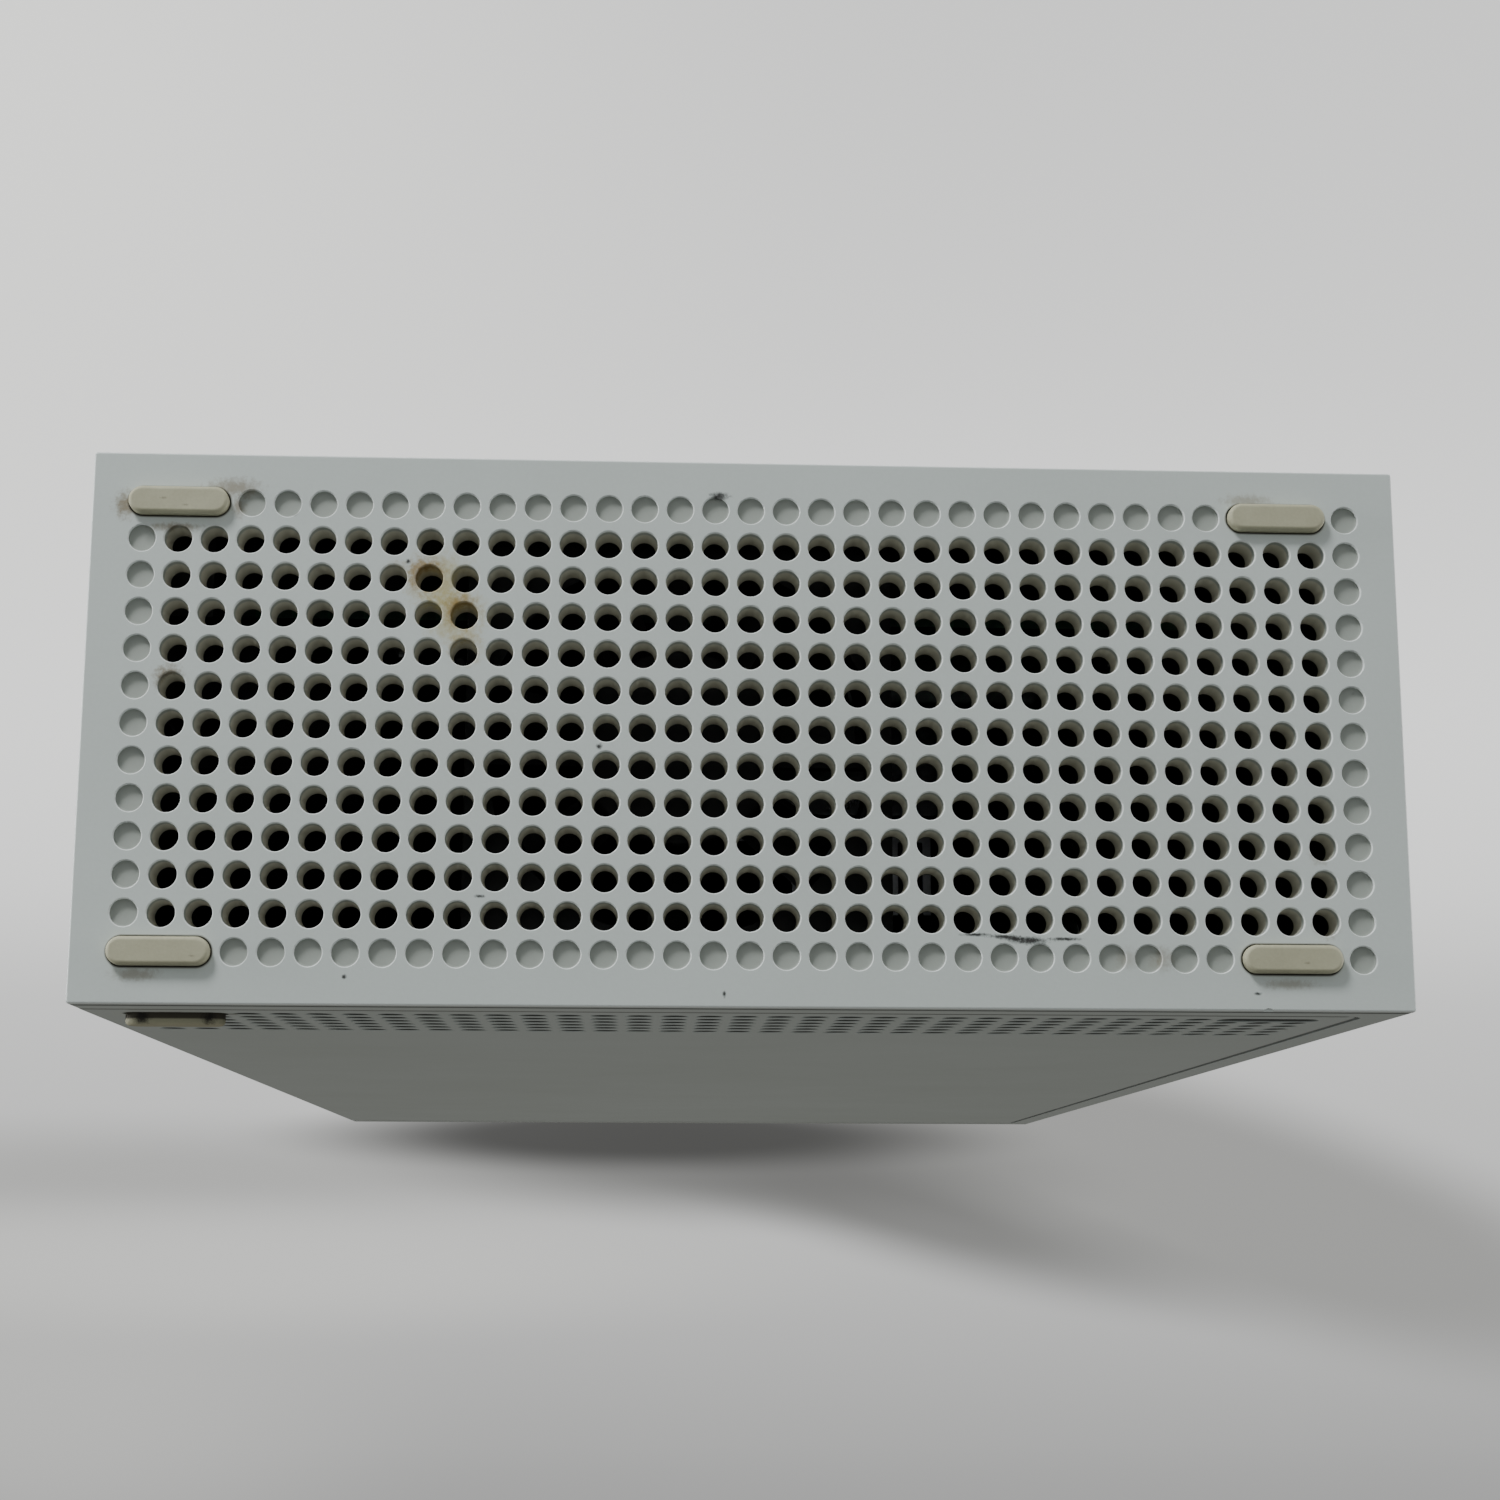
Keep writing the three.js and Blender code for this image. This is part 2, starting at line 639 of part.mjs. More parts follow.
const lightBoard = block(
  [-12, 14],
  [-lightBoardFront, lightBoardThick - lightBoardFront],
  [wpsZ - 12, lightZ + lightLength / 2 + 2],
);
place('light_board', lightBoard, circuitBoard);
const lightReach = [-halfDepth + facePlay, -lightBoardFront - 3];
const lightBar = push(pillOutline(0, 0, lightLength, lightWidth), 'y', lightReach);
place('light_bar', lightBar, clearPlastic, [0, 0, lightZ]);

const sinkY = -18;
const sinkZ = HEIGHT * 0.62;
const canHeight = 2.8;
const padThick = 1;
const padX = partFace + canHeight + FIT;
const sinkX = padX + padThick + FIT;
const radioY = -30;
const radioZ = HEIGHT * 0.36;
const radioDeep = 30;
const processorShield = shieldCan(SINK_SIDE + 2, SINK_SIDE + 2, canHeight);
place('processor_shield', processorShield, sheetSteel, [partFace, sinkY, sinkZ]);
place('thermal_pad', block([0, padThick], [-16, 16], [-16, 16]), padSilicone, [padX, sinkY, sinkZ]);
place('heat_sink', heatSink(), aluminium, [sinkX, sinkY, sinkZ]);
place('radio_shield', shieldCan(radioDeep, 52, canHeight), sheetSteel, [partFace, radioY, radioZ]);

const fanMiddle = (z) => [0, FAN_CENTRE_Y, z];
place('fan_frame', fanFrame(), darkPlastic, fanMiddle(FAN_LOW));
place('fan_rotor', fanRotor(), darkPlastic, fanMiddle(FAN_LOW + 0.6));
place('fan_bracket', fanBracket(), coatedSteel, fanMiddle(fanHigh + FIT));

const filterFace = halfThick - WALL - FIT;
const filterReach = halfDepth - WALL - FILTER_MARGIN;
const filterHigh = VENT_FIRST + VENT_ROWS * VENT_STEP;
const sideFilter = block([filterFace - FILTER_THICK, filterFace], [-filterReach, filterReach], [
  coverLow + FIT,
  filterHigh,
]);
place('side_dust_filter', sideFilter, filterMesh);

boardScrews.forEach(([y, z], i) =>
  place(
    `board_screw_${i + 1}`,
    screw(BOARD_STANDOFF - 1.5),
    screwSteel,
    [partFace + SCREW_HEAD_THICK, y, z],
    [0, 0, -Math.PI / 2],
  ),
);
coverScrewZs.forEach((z, i) => {
  const headFace = screwSeat + FIT + SCREW_HEAD_THICK;
  place(`cover_screw_${i + 1}`, screw(coverBossDepth - 1.5), screwSteel, [coverScrewX, headFace, z]);
});

// Four antennas on the inside of the front wall, each with its lead to the radio
const antennaLength = 42;
const antennaThick = 0.8;
const antennaFace = WALL + FIT + antennaThick - halfDepth;
const antennaX = halfThick - WALL - 9.5;
const antennas = [
  [-antennaX, HEIGHT * 0.24],
  [antennaX, HEIGHT * 0.24],
  [-antennaX, HEIGHT * 0.45],
  [antennaX, HEIGHT * 0.45],
];
antennas.forEach(([x, z], i) => {
  const tall = antennaLength / 2;
  const antenna = block([-6, 6], [-antennaThick, 0], [-tall, tall]);
  place(`antenna_${i + 1}`, antenna, antennaBoard, [x, antennaFace, z]);
  const solderY = antennaFace + FIT + LEAD_RADIUS;
  const plugY = radioY - radioDeep / 2 - 4;
  const plugZ = radioZ + 8 * (i - 1.5);
  place(
    `antenna_lead_${i + 1}`,
    lead([
      [x, solderY, z - 10],
      [x, solderY + 1, z],
      [x * 0.8, (solderY + plugY) / 2, (z + plugZ) / 2],
      [boardFace + 7, plugY - 2, plugZ],
      [boardFace + 3, plugY, plugZ],
      [boardFace + FIT, plugY, plugZ],
    ]),
    leadSheath,
  );
});
const fanLeadY = FAN_CENTRE_Y + fanSide / 2 + FIT + LEAD_RADIUS;
place(
  'fan_lead',
  lead([
    [-10, fanLeadY, FAN_LOW + 3],
    [-11, fanLeadY + 1, FAN_LOW + 9],
    [-12, fanLeadY + 3, BOARD_LOW + 2],
    [boardFace + 3, fanLeadY + 3, BOARD_LOW + 6],
    [boardFace + FIT, fanLeadY + 3, BOARD_LOW + 6],
  ]),
  leadSheath,
);

export default router;
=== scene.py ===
# %% [markdown]
# # A vented tower router
# The router is a slim upright box. Its foot end is a plate full of round vent holes, and one side
# is a cover that comes off. The real size and place of every piece are already settled in the
# frame, so this lesson only gives each piece its true outline, its eased edges and its finish.

# %% Load the frame
import math

import bmesh
import bpy
from mathutils import Matrix, Vector


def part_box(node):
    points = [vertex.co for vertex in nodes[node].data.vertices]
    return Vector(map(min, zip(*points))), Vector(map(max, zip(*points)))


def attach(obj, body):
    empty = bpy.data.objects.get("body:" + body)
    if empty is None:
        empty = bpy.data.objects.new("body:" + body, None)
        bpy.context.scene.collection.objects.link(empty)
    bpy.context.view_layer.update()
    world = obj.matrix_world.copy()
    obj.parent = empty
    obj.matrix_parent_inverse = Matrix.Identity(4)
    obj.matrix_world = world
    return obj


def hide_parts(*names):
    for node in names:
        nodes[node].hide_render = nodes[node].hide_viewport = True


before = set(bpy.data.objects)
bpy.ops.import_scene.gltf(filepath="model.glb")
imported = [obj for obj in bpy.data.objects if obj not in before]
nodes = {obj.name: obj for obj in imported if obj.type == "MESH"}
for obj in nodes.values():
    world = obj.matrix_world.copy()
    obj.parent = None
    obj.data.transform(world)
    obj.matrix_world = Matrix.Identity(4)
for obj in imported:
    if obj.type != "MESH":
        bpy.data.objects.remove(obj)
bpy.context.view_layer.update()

MM = 0.001
scene_collection = bpy.context.scene.collection
print("nodes in the frame:", len(nodes))

# %% [markdown]
# ## The sizes that the pieces share
# A moulded case is drawn from a few rules: where the vent grid starts, how far apart its holes
# are and how wide the gap between two pieces is. They are worked out once here, from the box of
# the foot end plate, so that every hole, foot and pocket lines up.

# %% Shared sizes
plate_low, plate_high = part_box("foot_end_grille")
shell_low, shell_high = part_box("main_shell")
cover_low, cover_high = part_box("side_cover")
GAP = 0.35 * MM
POCKET_GAP = 0.16 * MM
GRID_MARGIN = 5.85 * MM
HOLE_DIAMETER = 3.2 * MM
COLUMNS = 35
ROWS = 13
FOOT_COLUMNS = (1, 32)
FOOT_ROWS = (0, 12)
FOOT_LENGTH = 11.35 * MM
FOOT_WIDTH = 3.2 * MM
VENT_FIRST = 11.6 * MM
VENT_STEP = 4.05 * MM
VENT_ROWS = 6
column_pitch = (plate_high.y - plate_low.y - 2 * GRID_MARGIN) / (COLUMNS - 1)
row_pitch = (plate_high.x - plate_low.x - 2 * GRID_MARGIN) / (ROWS - 1)


def column_y(column):
    return plate_high.y - GRID_MARGIN - column * column_pitch


def row_x(row):
    return plate_low.x + GRID_MARGIN + row * row_pitch


print("pitch in mm:", round(column_pitch / MM, 3), "by", round(row_pitch / MM, 3))

# %% [markdown]
# ## Closed shapes from outlines
# Most moulded and cut pieces are an outline pushed along one axis. A closed shape is needed,
# because the cutting that comes later only works on shapes with an inside and an outside. The
# outline could be drawn as a curve, but a short list of points is easier to read and gives the
# same mesh each time.

# %% Outline and push
AXES = {"x": (1, 2, 0), "y": (2, 0, 1), "z": (0, 1, 2)}  # the outline's two axes, then the pushed one


def new_piece(name, build):
    mesh = bpy.data.meshes.new(name)
    shape = bmesh.new()
    build(shape)
    bmesh.ops.recalc_face_normals(shape, faces=shape.faces)
    shape.to_mesh(mesh)
    shape.free()
    piece = bpy.data.objects.new(name, mesh)
    scene_collection.objects.link(piece)
    return piece


def pushed(name, outline, along, low, high):
    def build(shape):
        u_axis, v_axis, push_axis = AXES[along]
        corners = []
        for u, v in outline:
            place = [0.0, 0.0, 0.0]
            place[u_axis], place[v_axis], place[push_axis] = u, v, low
            corners.append(shape.verts.new(place))
        face = shape.faces.new(corners)
        made = bmesh.ops.extrude_face_region(shape, geom=[face])
        step = [0.0, 0.0, 0.0]
        step[AXES[along][2]] = high - low
        moved = [part for part in made["geom"] if isinstance(part, bmesh.types.BMVert)]
        bmesh.ops.translate(shape, verts=moved, vec=step)

    return new_piece(name, build)


def arc(centre_u, centre_v, radius, start, end, steps):
    turns = [math.radians(start + (end - start) * i / steps) for i in range(steps + 1)]
    return [(centre_u + radius * math.cos(t), centre_v + radius * math.sin(t)) for t in turns]


def rounded_box(low_u, low_v, high_u, high_v, radius, steps=6):
    return (
        arc(high_u - radius, low_v + radius, radius, -90, 0, steps)
        + arc(high_u - radius, high_v - radius, radius, 0, 90, steps)
        + arc(low_u + radius, high_v - radius, radius, 90, 180, steps)
        + arc(low_u + radius, low_v + radius, radius, 180, 270, steps)
    )


def pill(centre_u, centre_v, length, width, steps=14):
    """The length lies along the second axis."""
    reach = (length - width) / 2
    return arc(centre_u, centre_v + reach, width / 2, 0, 180, steps) + arc(
        centre_u, centre_v - reach, width / 2, 180, 360, steps
    )


def ring(centre_u, centre_v, radius, steps=32):
    return arc(centre_u, centre_v, radius, 0, 360, steps)[:-1]


print("an outline of a foot has", len(pill(0, 0, FOOT_LENGTH, FOOT_WIDTH)), "points")

# %% [markdown]
# ## Joining, cutting and easing edges
# No moulded edge is sharp: the mould and the hand leave a small round that catches the light.
# Each piece gets it from a Bevel modifier with its real radius. Weighted normals keep the wide
# faces flat while the rounds stay smooth. The modifiers are made part of the mesh, so that later
# steps see the true shape.

# %% Modifiers made part of the mesh


def settle(piece):
    """Turns what the modifiers make into the piece's own mesh."""
    bpy.context.view_layer.update()
    shown = piece.evaluated_get(bpy.context.evaluated_depsgraph_get())
    mesh = bpy.data.meshes.new_from_object(shown, depsgraph=bpy.context.evaluated_depsgraph_get())
    piece.modifiers.clear()
    piece.data = mesh
    return piece


def combine(piece, others, way):
    for other in others:
        step = piece.modifiers.new("combine", "BOOLEAN")
        step.operation = way
        step.solver = "MANIFOLD"
        step.object = other
        settle(piece)
        bpy.data.objects.remove(other)
    return piece


def ease(piece, radius, segments=3, angle=30):
    step = piece.modifiers.new("eased edges", "BEVEL")
    step.width = radius
    step.segments = segments
    step.limit_method = "ANGLE"
    step.angle_limit = math.radians(angle)
    step.miter_outer = "MITER_ARC"
    return settle(piece)


def flat_and_round(piece, angle=35):
    """Wide faces look flat, and rounds and hole walls look smooth."""
    piece.data.shade_smooth()
    piece.data.set_sharp_from_angle(angle=math.radians(angle))
    step = piece.modifiers.new("weighted normals", "WEIGHTED_NORMAL")
    step.keep_sharp = True
    step.weight = 80
    return settle(piece)


def traced(name, node):
    """A copy of a frame node with its loose triangles merged into whole faces."""
    piece = bpy.data.objects.new(name, nodes[node].data.copy())
    scene_collection.objects.link(piece)
    shape = bmesh.new()
    shape.from_mesh(piece.data)
    bmesh.ops.remove_doubles(shape, verts=shape.verts, dist=0.004 * MM)
    bmesh.ops.dissolve_limit(
        shape, angle_limit=math.radians(1), verts=shape.verts, edges=shape.edges
    )
    shape.to_mesh(piece.data)
    shape.free()
    piece.data.materials.clear()
    return piece


def triangles(piece):
    piece.data.calc_loop_triangles()
    return len(piece.data.loop_triangles)


finished = []


def mount(piece, body, slot, material, *stands_for):
    """Gives a piece its finish and its body, and hides the frame nodes that it stands for."""
    piece.data.materials.clear()
    piece.data.materials.append(material)
    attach(piece, body)
    if stands_for:
        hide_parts(*stands_for)
    finished.append(piece)
    print(f"{piece.name}: {triangles(piece)} triangles")


# %% [markdown]
# ## Finishes: how a node tree is written
# Every finish here is a small tree of nodes. One function adds any node with its settings, its
# values and its links. Colours are written as the hex codes of a paint chart, and one function
# turns them into the linear numbers that the renderer adds and multiplies.

# %% Colour and node helpers


def linear(code):
    parts = [int(code[i : i + 2], 16) / 255 for i in (1, 3, 5)]
    return tuple(p / 12.92 if p <= 0.04045 else ((p + 0.055) / 1.055) ** 2.4 for p in parts) + (1.0,)


def add(tree, kind, inputs=None, **settings):
    node = tree.nodes.new(kind)
    for name, value in settings.items():
        setattr(node, name, value)
    for key, value in (inputs or {}).items():
        if isinstance(value, bpy.types.NodeSocket):
            tree.links.new(value, node.inputs[key])
        else:
            node.inputs[key].default_value = value
    return node


def maths(tree, kind, *values, **settings):
    """One sum, for example MULTIPLY, of the values in their order."""
    return add(tree, "ShaderNodeMath", dict(enumerate(values)), operation=kind, **settings).outputs[0]


def vector_maths(tree, kind, *values):
    node = add(tree, "ShaderNodeVectorMath", dict(enumerate(values)), operation=kind)
    return node.outputs["Value" if kind == "LENGTH" else 0]


def apart(tree, vector):
    """The three numbers of a vector."""
    return add(tree, "ShaderNodeSeparateXYZ", {0: vector}).outputs


def ranged(tree, value, start, end, low=0.0, high=1.0, kind="SMOOTHSTEP"):
    """Goes from low to high as the value runs from start to end."""
    return add(
        tree,
        "ShaderNodeMapRange",
        {"Value": value, "From Min": start, "From Max": end, "To Min": low, "To Max": high},
        interpolation_type=kind,
    ).outputs[0]


def blended(tree, share, below, above):
    """One colour laid over another, as strongly as the share says."""
    return add(tree, "ShaderNodeMix", {0: share, 6: below, 7: above}, data_type="RGBA").outputs[2]


def noise(tree, place, size_mm, detail, roughness):
    """An uneven grey with patches of about the given size."""
    return add(
        tree,
        "ShaderNodeTexNoise",
        {"Vector": place, "Scale": 1 / (size_mm * MM), "Detail": detail, "Roughness": roughness},
    ).outputs["Fac"]


def blank_material(name):
    material = bpy.data.materials.new(name)
    material.use_nodes = True
    tree = material.node_tree
    tree.nodes.clear()
    place = add(tree, "ShaderNodeTexCoord").outputs["Object"]
    surface = add(tree, "ShaderNodeBsdfPrincipled")
    add(tree, "ShaderNodeOutputMaterial", {"Surface": surface.outputs[0]})
    return material, tree, place, surface


print("paper white in linear numbers:", [round(c, 3) for c in linear("#f2f2ee")[:3]])

# %% [markdown]
# ## One recipe for an even surface
# Plastics, coated boards and metals differ in colour, gloss and grain, but they age alike: the
# tint drifts over a few centimetres, the grain is a fraction of a millimetre and handling leaves
# dull and shiny patches. One recipe with real sizes in millimetres covers them, and each finish
# sets its own.

# %% The surface recipe
GRAIN_SHARE = 0.35  # how much the grain adds to the drift of the tint


def surface_recipe(
    name, light, dark, drift_mm, grain_mm, rough, bump_mm, metallic=0.0, ior=1.5, stretch=(1, 1, 1)
):
    """light and dark are the two ends of the tint, rough is the range of roughness."""
    material, tree, place, surface = blank_material(name)
    turned = add(tree, "ShaderNodeMapping", {"Vector": place, "Scale": stretch}).outputs[0]
    drift = noise(tree, place, drift_mm, 4.0, 0.6)
    grain = noise(tree, turned, grain_mm, 3.0, 0.55)
    blend = maths(tree, "MULTIPLY_ADD", grain, GRAIN_SHARE, drift)
    share = ranged(tree, blend, 0.42, 0.95, kind="LINEAR")
    tint = blended(tree, share, linear(light), linear(dark))
    gloss = ranged(tree, blend, 0.4, 0.95, rough[0], rough[1], kind="LINEAR")
    relief = add(
        tree, "ShaderNodeBump", {"Height": grain, "Distance": bump_mm * MM, "Strength": 0.6}
    ).outputs[0]
    tree.links.new(tint, surface.inputs["Base Color"])
    tree.links.new(gloss, surface.inputs["Roughness"])
    tree.links.new(relief, surface.inputs["Normal"])
    surface.inputs["Metallic"].default_value = metallic
    if not metallic:
        surface.inputs["IOR"].default_value = ior
    return material, tree, place, surface


# %% [markdown]
# ## Finishes of the hidden and small pieces
# Each one is named for what the real piece is made of. The grain is drawn a little coarser than
# it is on the thing itself, where the true one would be too fine to see.

# %% Small finishes


def finish(*recipe, **extras):
    return surface_recipe(*recipe, **extras)[0]


button_abs = finish("polished_abs", "#c9cdca", "#b9bdb8", 14, 0.5, (0.32, 0.46), 0.01)
jack_pbt = finish("moulded_pbt", "#202225", "#17181a", 9, 0.35, (0.42, 0.6), 0.02, ior=1.55)
fan_pbt = finish("fan_pbt", "#1b1d1f", "#131416", 12, 0.4, (0.38, 0.55), 0.02, ior=1.55)
switch_nylon = finish("switch_nylon", "#26282a", "#1b1c1e", 5, 0.3, (0.45, 0.6), 0.02)
shield_steel = finish(
    "tinned_sheet_steel", "#c3c5c7", "#9fa2a5", 11, 0.5, (0.24, 0.42), 0.01, 1.0, stretch=(1, 1, 0.08)
)
fin_aluminium = finish(
    "extruded_aluminium", "#c9cbcd", "#aeb1b4", 15, 0.4, (0.28, 0.46), 0.015, 1.0, stretch=(1, 1, 0.05)
)
screw_zinc = finish("zinc_plated_steel", "#a7a9a8", "#86888a", 3, 0.25, (0.22, 0.4), 0.01, 1.0)
coated_steel = finish("powder_coated_steel", "#202122", "#17181a", 8, 0.4, (0.45, 0.6), 0.04)
filter_nylon = finish("woven_nylon", "#17181a", "#0d0e0f", 1.2, 0.5, (0.7, 0.9), 0.08, ior=1.53)
contact_gold = finish("gilded_bronze", "#d8b25a", "#b98f3d", 4, 0.3, (0.18, 0.32), 0.005, 1.0)
pad_silicone = finish("silicone_pad", "#8f97a6", "#7d8594", 6, 0.4, (0.6, 0.8), 0.03, ior=1.41)
lead_pvc = finish("pvc_sheath", "#2c2d2e", "#202122", 8, 0.4, (0.38, 0.55), 0.02, ior=1.54)
aerial_board = finish("aerial_laminate", "#2b3d33", "#1f2e26", 9, 0.5, (0.35, 0.5), 0.02, ior=1.55)
light_polycarbonate, _, _, light_surface = surface_recipe(
    "frosted_polycarbonate", "#eef3f0", "#dde4e0", 10, 0.3, (0.24, 0.38), 0.01, ior=1.585
)
light_surface.inputs["Subsurface Weight"].default_value = 0.2
light_surface.inputs["Subsurface Scale"].default_value = 1.5 * MM
print("small finishes:", len(bpy.data.materials))

# %% [markdown]
# ## Circuit board
# A board is glass laminate under a green lacquer, with copper tracks that show as a paler green.
# A grid of tiny cells whose edges follow the two directions of the board reads as tracks at this
# size.

# %% Circuit board finish
board_lacquer, board_tree, board_place, board_surface = surface_recipe(
    "lacquered_glass_laminate", "#1d5a37", "#164528", 18, 0.6, (0.28, 0.42), 0.01, ior=1.55
)
TRACK_CELL_MM = 9
along_board = add(
    board_tree, "ShaderNodeMapping", {"Vector": board_place, "Rotation": (0, math.pi / 2, 0)}
).outputs[0]
tracks = add(
    board_tree,
    "ShaderNodeTexBrick",
    {
        "Vector": along_board,
        "Scale": 1 / (TRACK_CELL_MM * MM),
        "Mortar Size": 0.03,
        "Color1": linear("#1d5a37"),
        "Color2": linear("#195030"),
        "Mortar": linear("#2f7a4b"),
    },
)
tint_link = board_surface.inputs["Base Color"].links[0].from_socket
mixed = blended(board_tree, 0.5, tint_link, tracks.outputs["Color"])
board_tree.links.new(mixed, board_surface.inputs["Base Color"])
print("a cell of tracks is", TRACK_CELL_MM, "mm wide")

# %% [markdown]
# ## Case plastic
# The case is white ABS from a spark-eroded mould: matt, with a fine even grain. Years of use
# leave the foot end with a yellow stain that ran from two holes, brown grime in the corners round
# the feet, a black rub mark and some specks. Each mark has a place on the plate, a reach and a
# ragged border. Light and shade are painted in by depth as well: a painted highlight on the
# plate's rims, painted shade on the walls of holes, slots and vents, along the seams and in the
# gap round each foot, and near black painted shade on all that lies deep inside.

# %% Case plastic and its marks


def case_plastic(name, light="#d7dfdb", dark="#ced6d1"):
    return surface_recipe(name, light, dark, 45, 0.45, (0.42, 0.56), 0.02, ior=1.54)


def lay_mark(tree, surface, strength, colour, share):
    """Lays a mark over whatever colour the surface has so far."""
    below = surface.inputs["Base Color"].links[0].from_socket
    amount = maths(tree, "MULTIPLY", strength, share, use_clamp=True)
    tree.links.new(blended(tree, amount, below, linear(colour)), surface.inputs["Base Color"])


def paint_light_and_shade_by_depth(tree, place, surface, first_mm, full_mm, colour, share):
    """Painted light or shade on everything deeper inside the case's outer faces than first_mm."""
    off = vector_maths(tree, "SUBTRACT", place, (case_low + case_high) / 2)
    size = vector_maths(tree, "ABSOLUTE", off)
    x, y, z = apart(tree, vector_maths(tree, "SUBTRACT", (case_high - case_low) / 2, size))
    nearest = maths(tree, "MINIMUM", maths(tree, "MINIMUM", x, y), z)
    lay_mark(tree, surface, ranged(tree, nearest, first_mm * MM, full_mm * MM), colour, share)


def seam_painted_shade(tree, place, surface, low, high, axis, wide_mm):
    """Painted shade along a piece's two ends, where its seams lie, measured along one axis (0, 1 or 2).
    """
    shifted = maths(tree, "SUBTRACT", apart(tree, place)[axis], (low[axis] + high[axis]) / 2)
    out = maths(tree, "ABSOLUTE", shifted)
    end = (high[axis] - low[axis]) / 2
    darkened = ranged(tree, out, end - wide_mm * MM, end - wide_mm * 0.5 * MM)
    # a dark painted shade where the seam gap lies
    lay_mark(tree, surface, darkened, "#2b2822", 0.8)


def mark(tree, place, centre, reach, stretch=(1, 1, 1), ragged_mm=1.6, ragged=0.8):
    """How strongly a mark covers a point: 1 in its middle, 0 past its reach, with a ragged border."""
    shifted = vector_maths(tree, "SUBTRACT", place, centre)
    far = vector_maths(tree, "LENGTH", vector_maths(tree, "MULTIPLY", shifted, stretch))
    rag = noise(tree, place, ragged_mm, 3.0, 0.7)
    worn = maths(tree, "MULTIPLY_ADD", rag, ragged * reach, far)
    return ranged(tree, worn, reach * 0.55, reach * 1.25, 1.0, 0.0)


# Near black painted shade on all that lies deep inside the case.
DEEP_PAINTED_SHADE = "#1c1d1c"
case_low = plate_low.copy()
case_high = Vector((plate_high.x, plate_high.y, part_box("top_end_grille")[1].z))
# Painted shade on the walls of the shell's openings and the top plate's slots.
PAINTED_WALL_SHADE = "#6f6d64"
shell_abs, shell_tree, shell_place, shell_surface = case_plastic("spark_eroded_abs")
paint_light_and_shade_by_depth(shell_tree, shell_place, shell_surface, 0.2, 0.8, PAINTED_WALL_SHADE, 0.6)
paint_light_and_shade_by_depth(shell_tree, shell_place, shell_surface, 1.7, 2.1, DEEP_PAINTED_SHADE, 0.97)
seam_painted_shade(shell_tree, shell_place, shell_surface, shell_low, shell_high, 2, 0.75)
top_abs, top_tree, top_place, top_surface = case_plastic("spark_eroded_abs_top")
paint_light_and_shade_by_depth(top_tree, top_place, top_surface, 0.4, 1.6, PAINTED_WALL_SHADE, 0.6)
paint_light_and_shade_by_depth(top_tree, top_place, top_surface, 1.7, 2.6, DEEP_PAINTED_SHADE, 0.97)
cover_abs, cover_tree, cover_place, cover_surface = case_plastic("spark_eroded_abs_cover")
# Painted shade on the cover's vent walls, pockets and edges, from just inside its outer face.
paint_light_and_shade_by_depth(cover_tree, cover_place, cover_surface, 0.07, 0.18, "#37322a", 0.85)
paint_light_and_shade_by_depth(cover_tree, cover_place, cover_surface, 1.4, 1.9, DEEP_PAINTED_SHADE, 0.97)
cover_reach = cover_high + Vector((0, 0.05, 0))  # past the rear, where no seam shows
for axis in (1, 2):
    seam_painted_shade(cover_tree, cover_place, cover_surface, cover_low, cover_reach, axis, 0.6)
plate_abs, plate_tree, plate_place, plate_surface = case_plastic("spark_eroded_abs_plate")
# Painted highlight on the rounded rims, painted shade on the hole walls, a paler painted light deeper
# down the walls, and near black painted shade at the far end of the holes.
PLATE_LIGHT_AND_SHADE = (  # from and to this depth in mm, colour, share: all painted light and shade
    (0.01, 0.05, "#f6faf8", 0.75),
    (0.2, 0.46, "#8f958b", 0.8),
    (0.75, 1.3, "#dedac9", 0.8),
    (3.6, 3.95, DEEP_PAINTED_SHADE, 0.97),
)
for painted_band in PLATE_LIGHT_AND_SHADE:
    paint_light_and_shade_by_depth(plate_tree, plate_place, plate_surface, *painted_band)

def on_plate(column, row):
    return (row_x(row), column_y(column), plate_low.z)


def mark_plate(place_on_grid, reach_mm, squeeze, ragged_mm, ragged, colour, share):
    """A mark at a column and row of the vent grid."""
    centre = on_plate(*place_on_grid)
    strength = mark(plate_tree, plate_place, centre, reach_mm * MM, squeeze, ragged_mm, ragged)
    lay_mark(plate_tree, plate_surface, strength, colour, share)


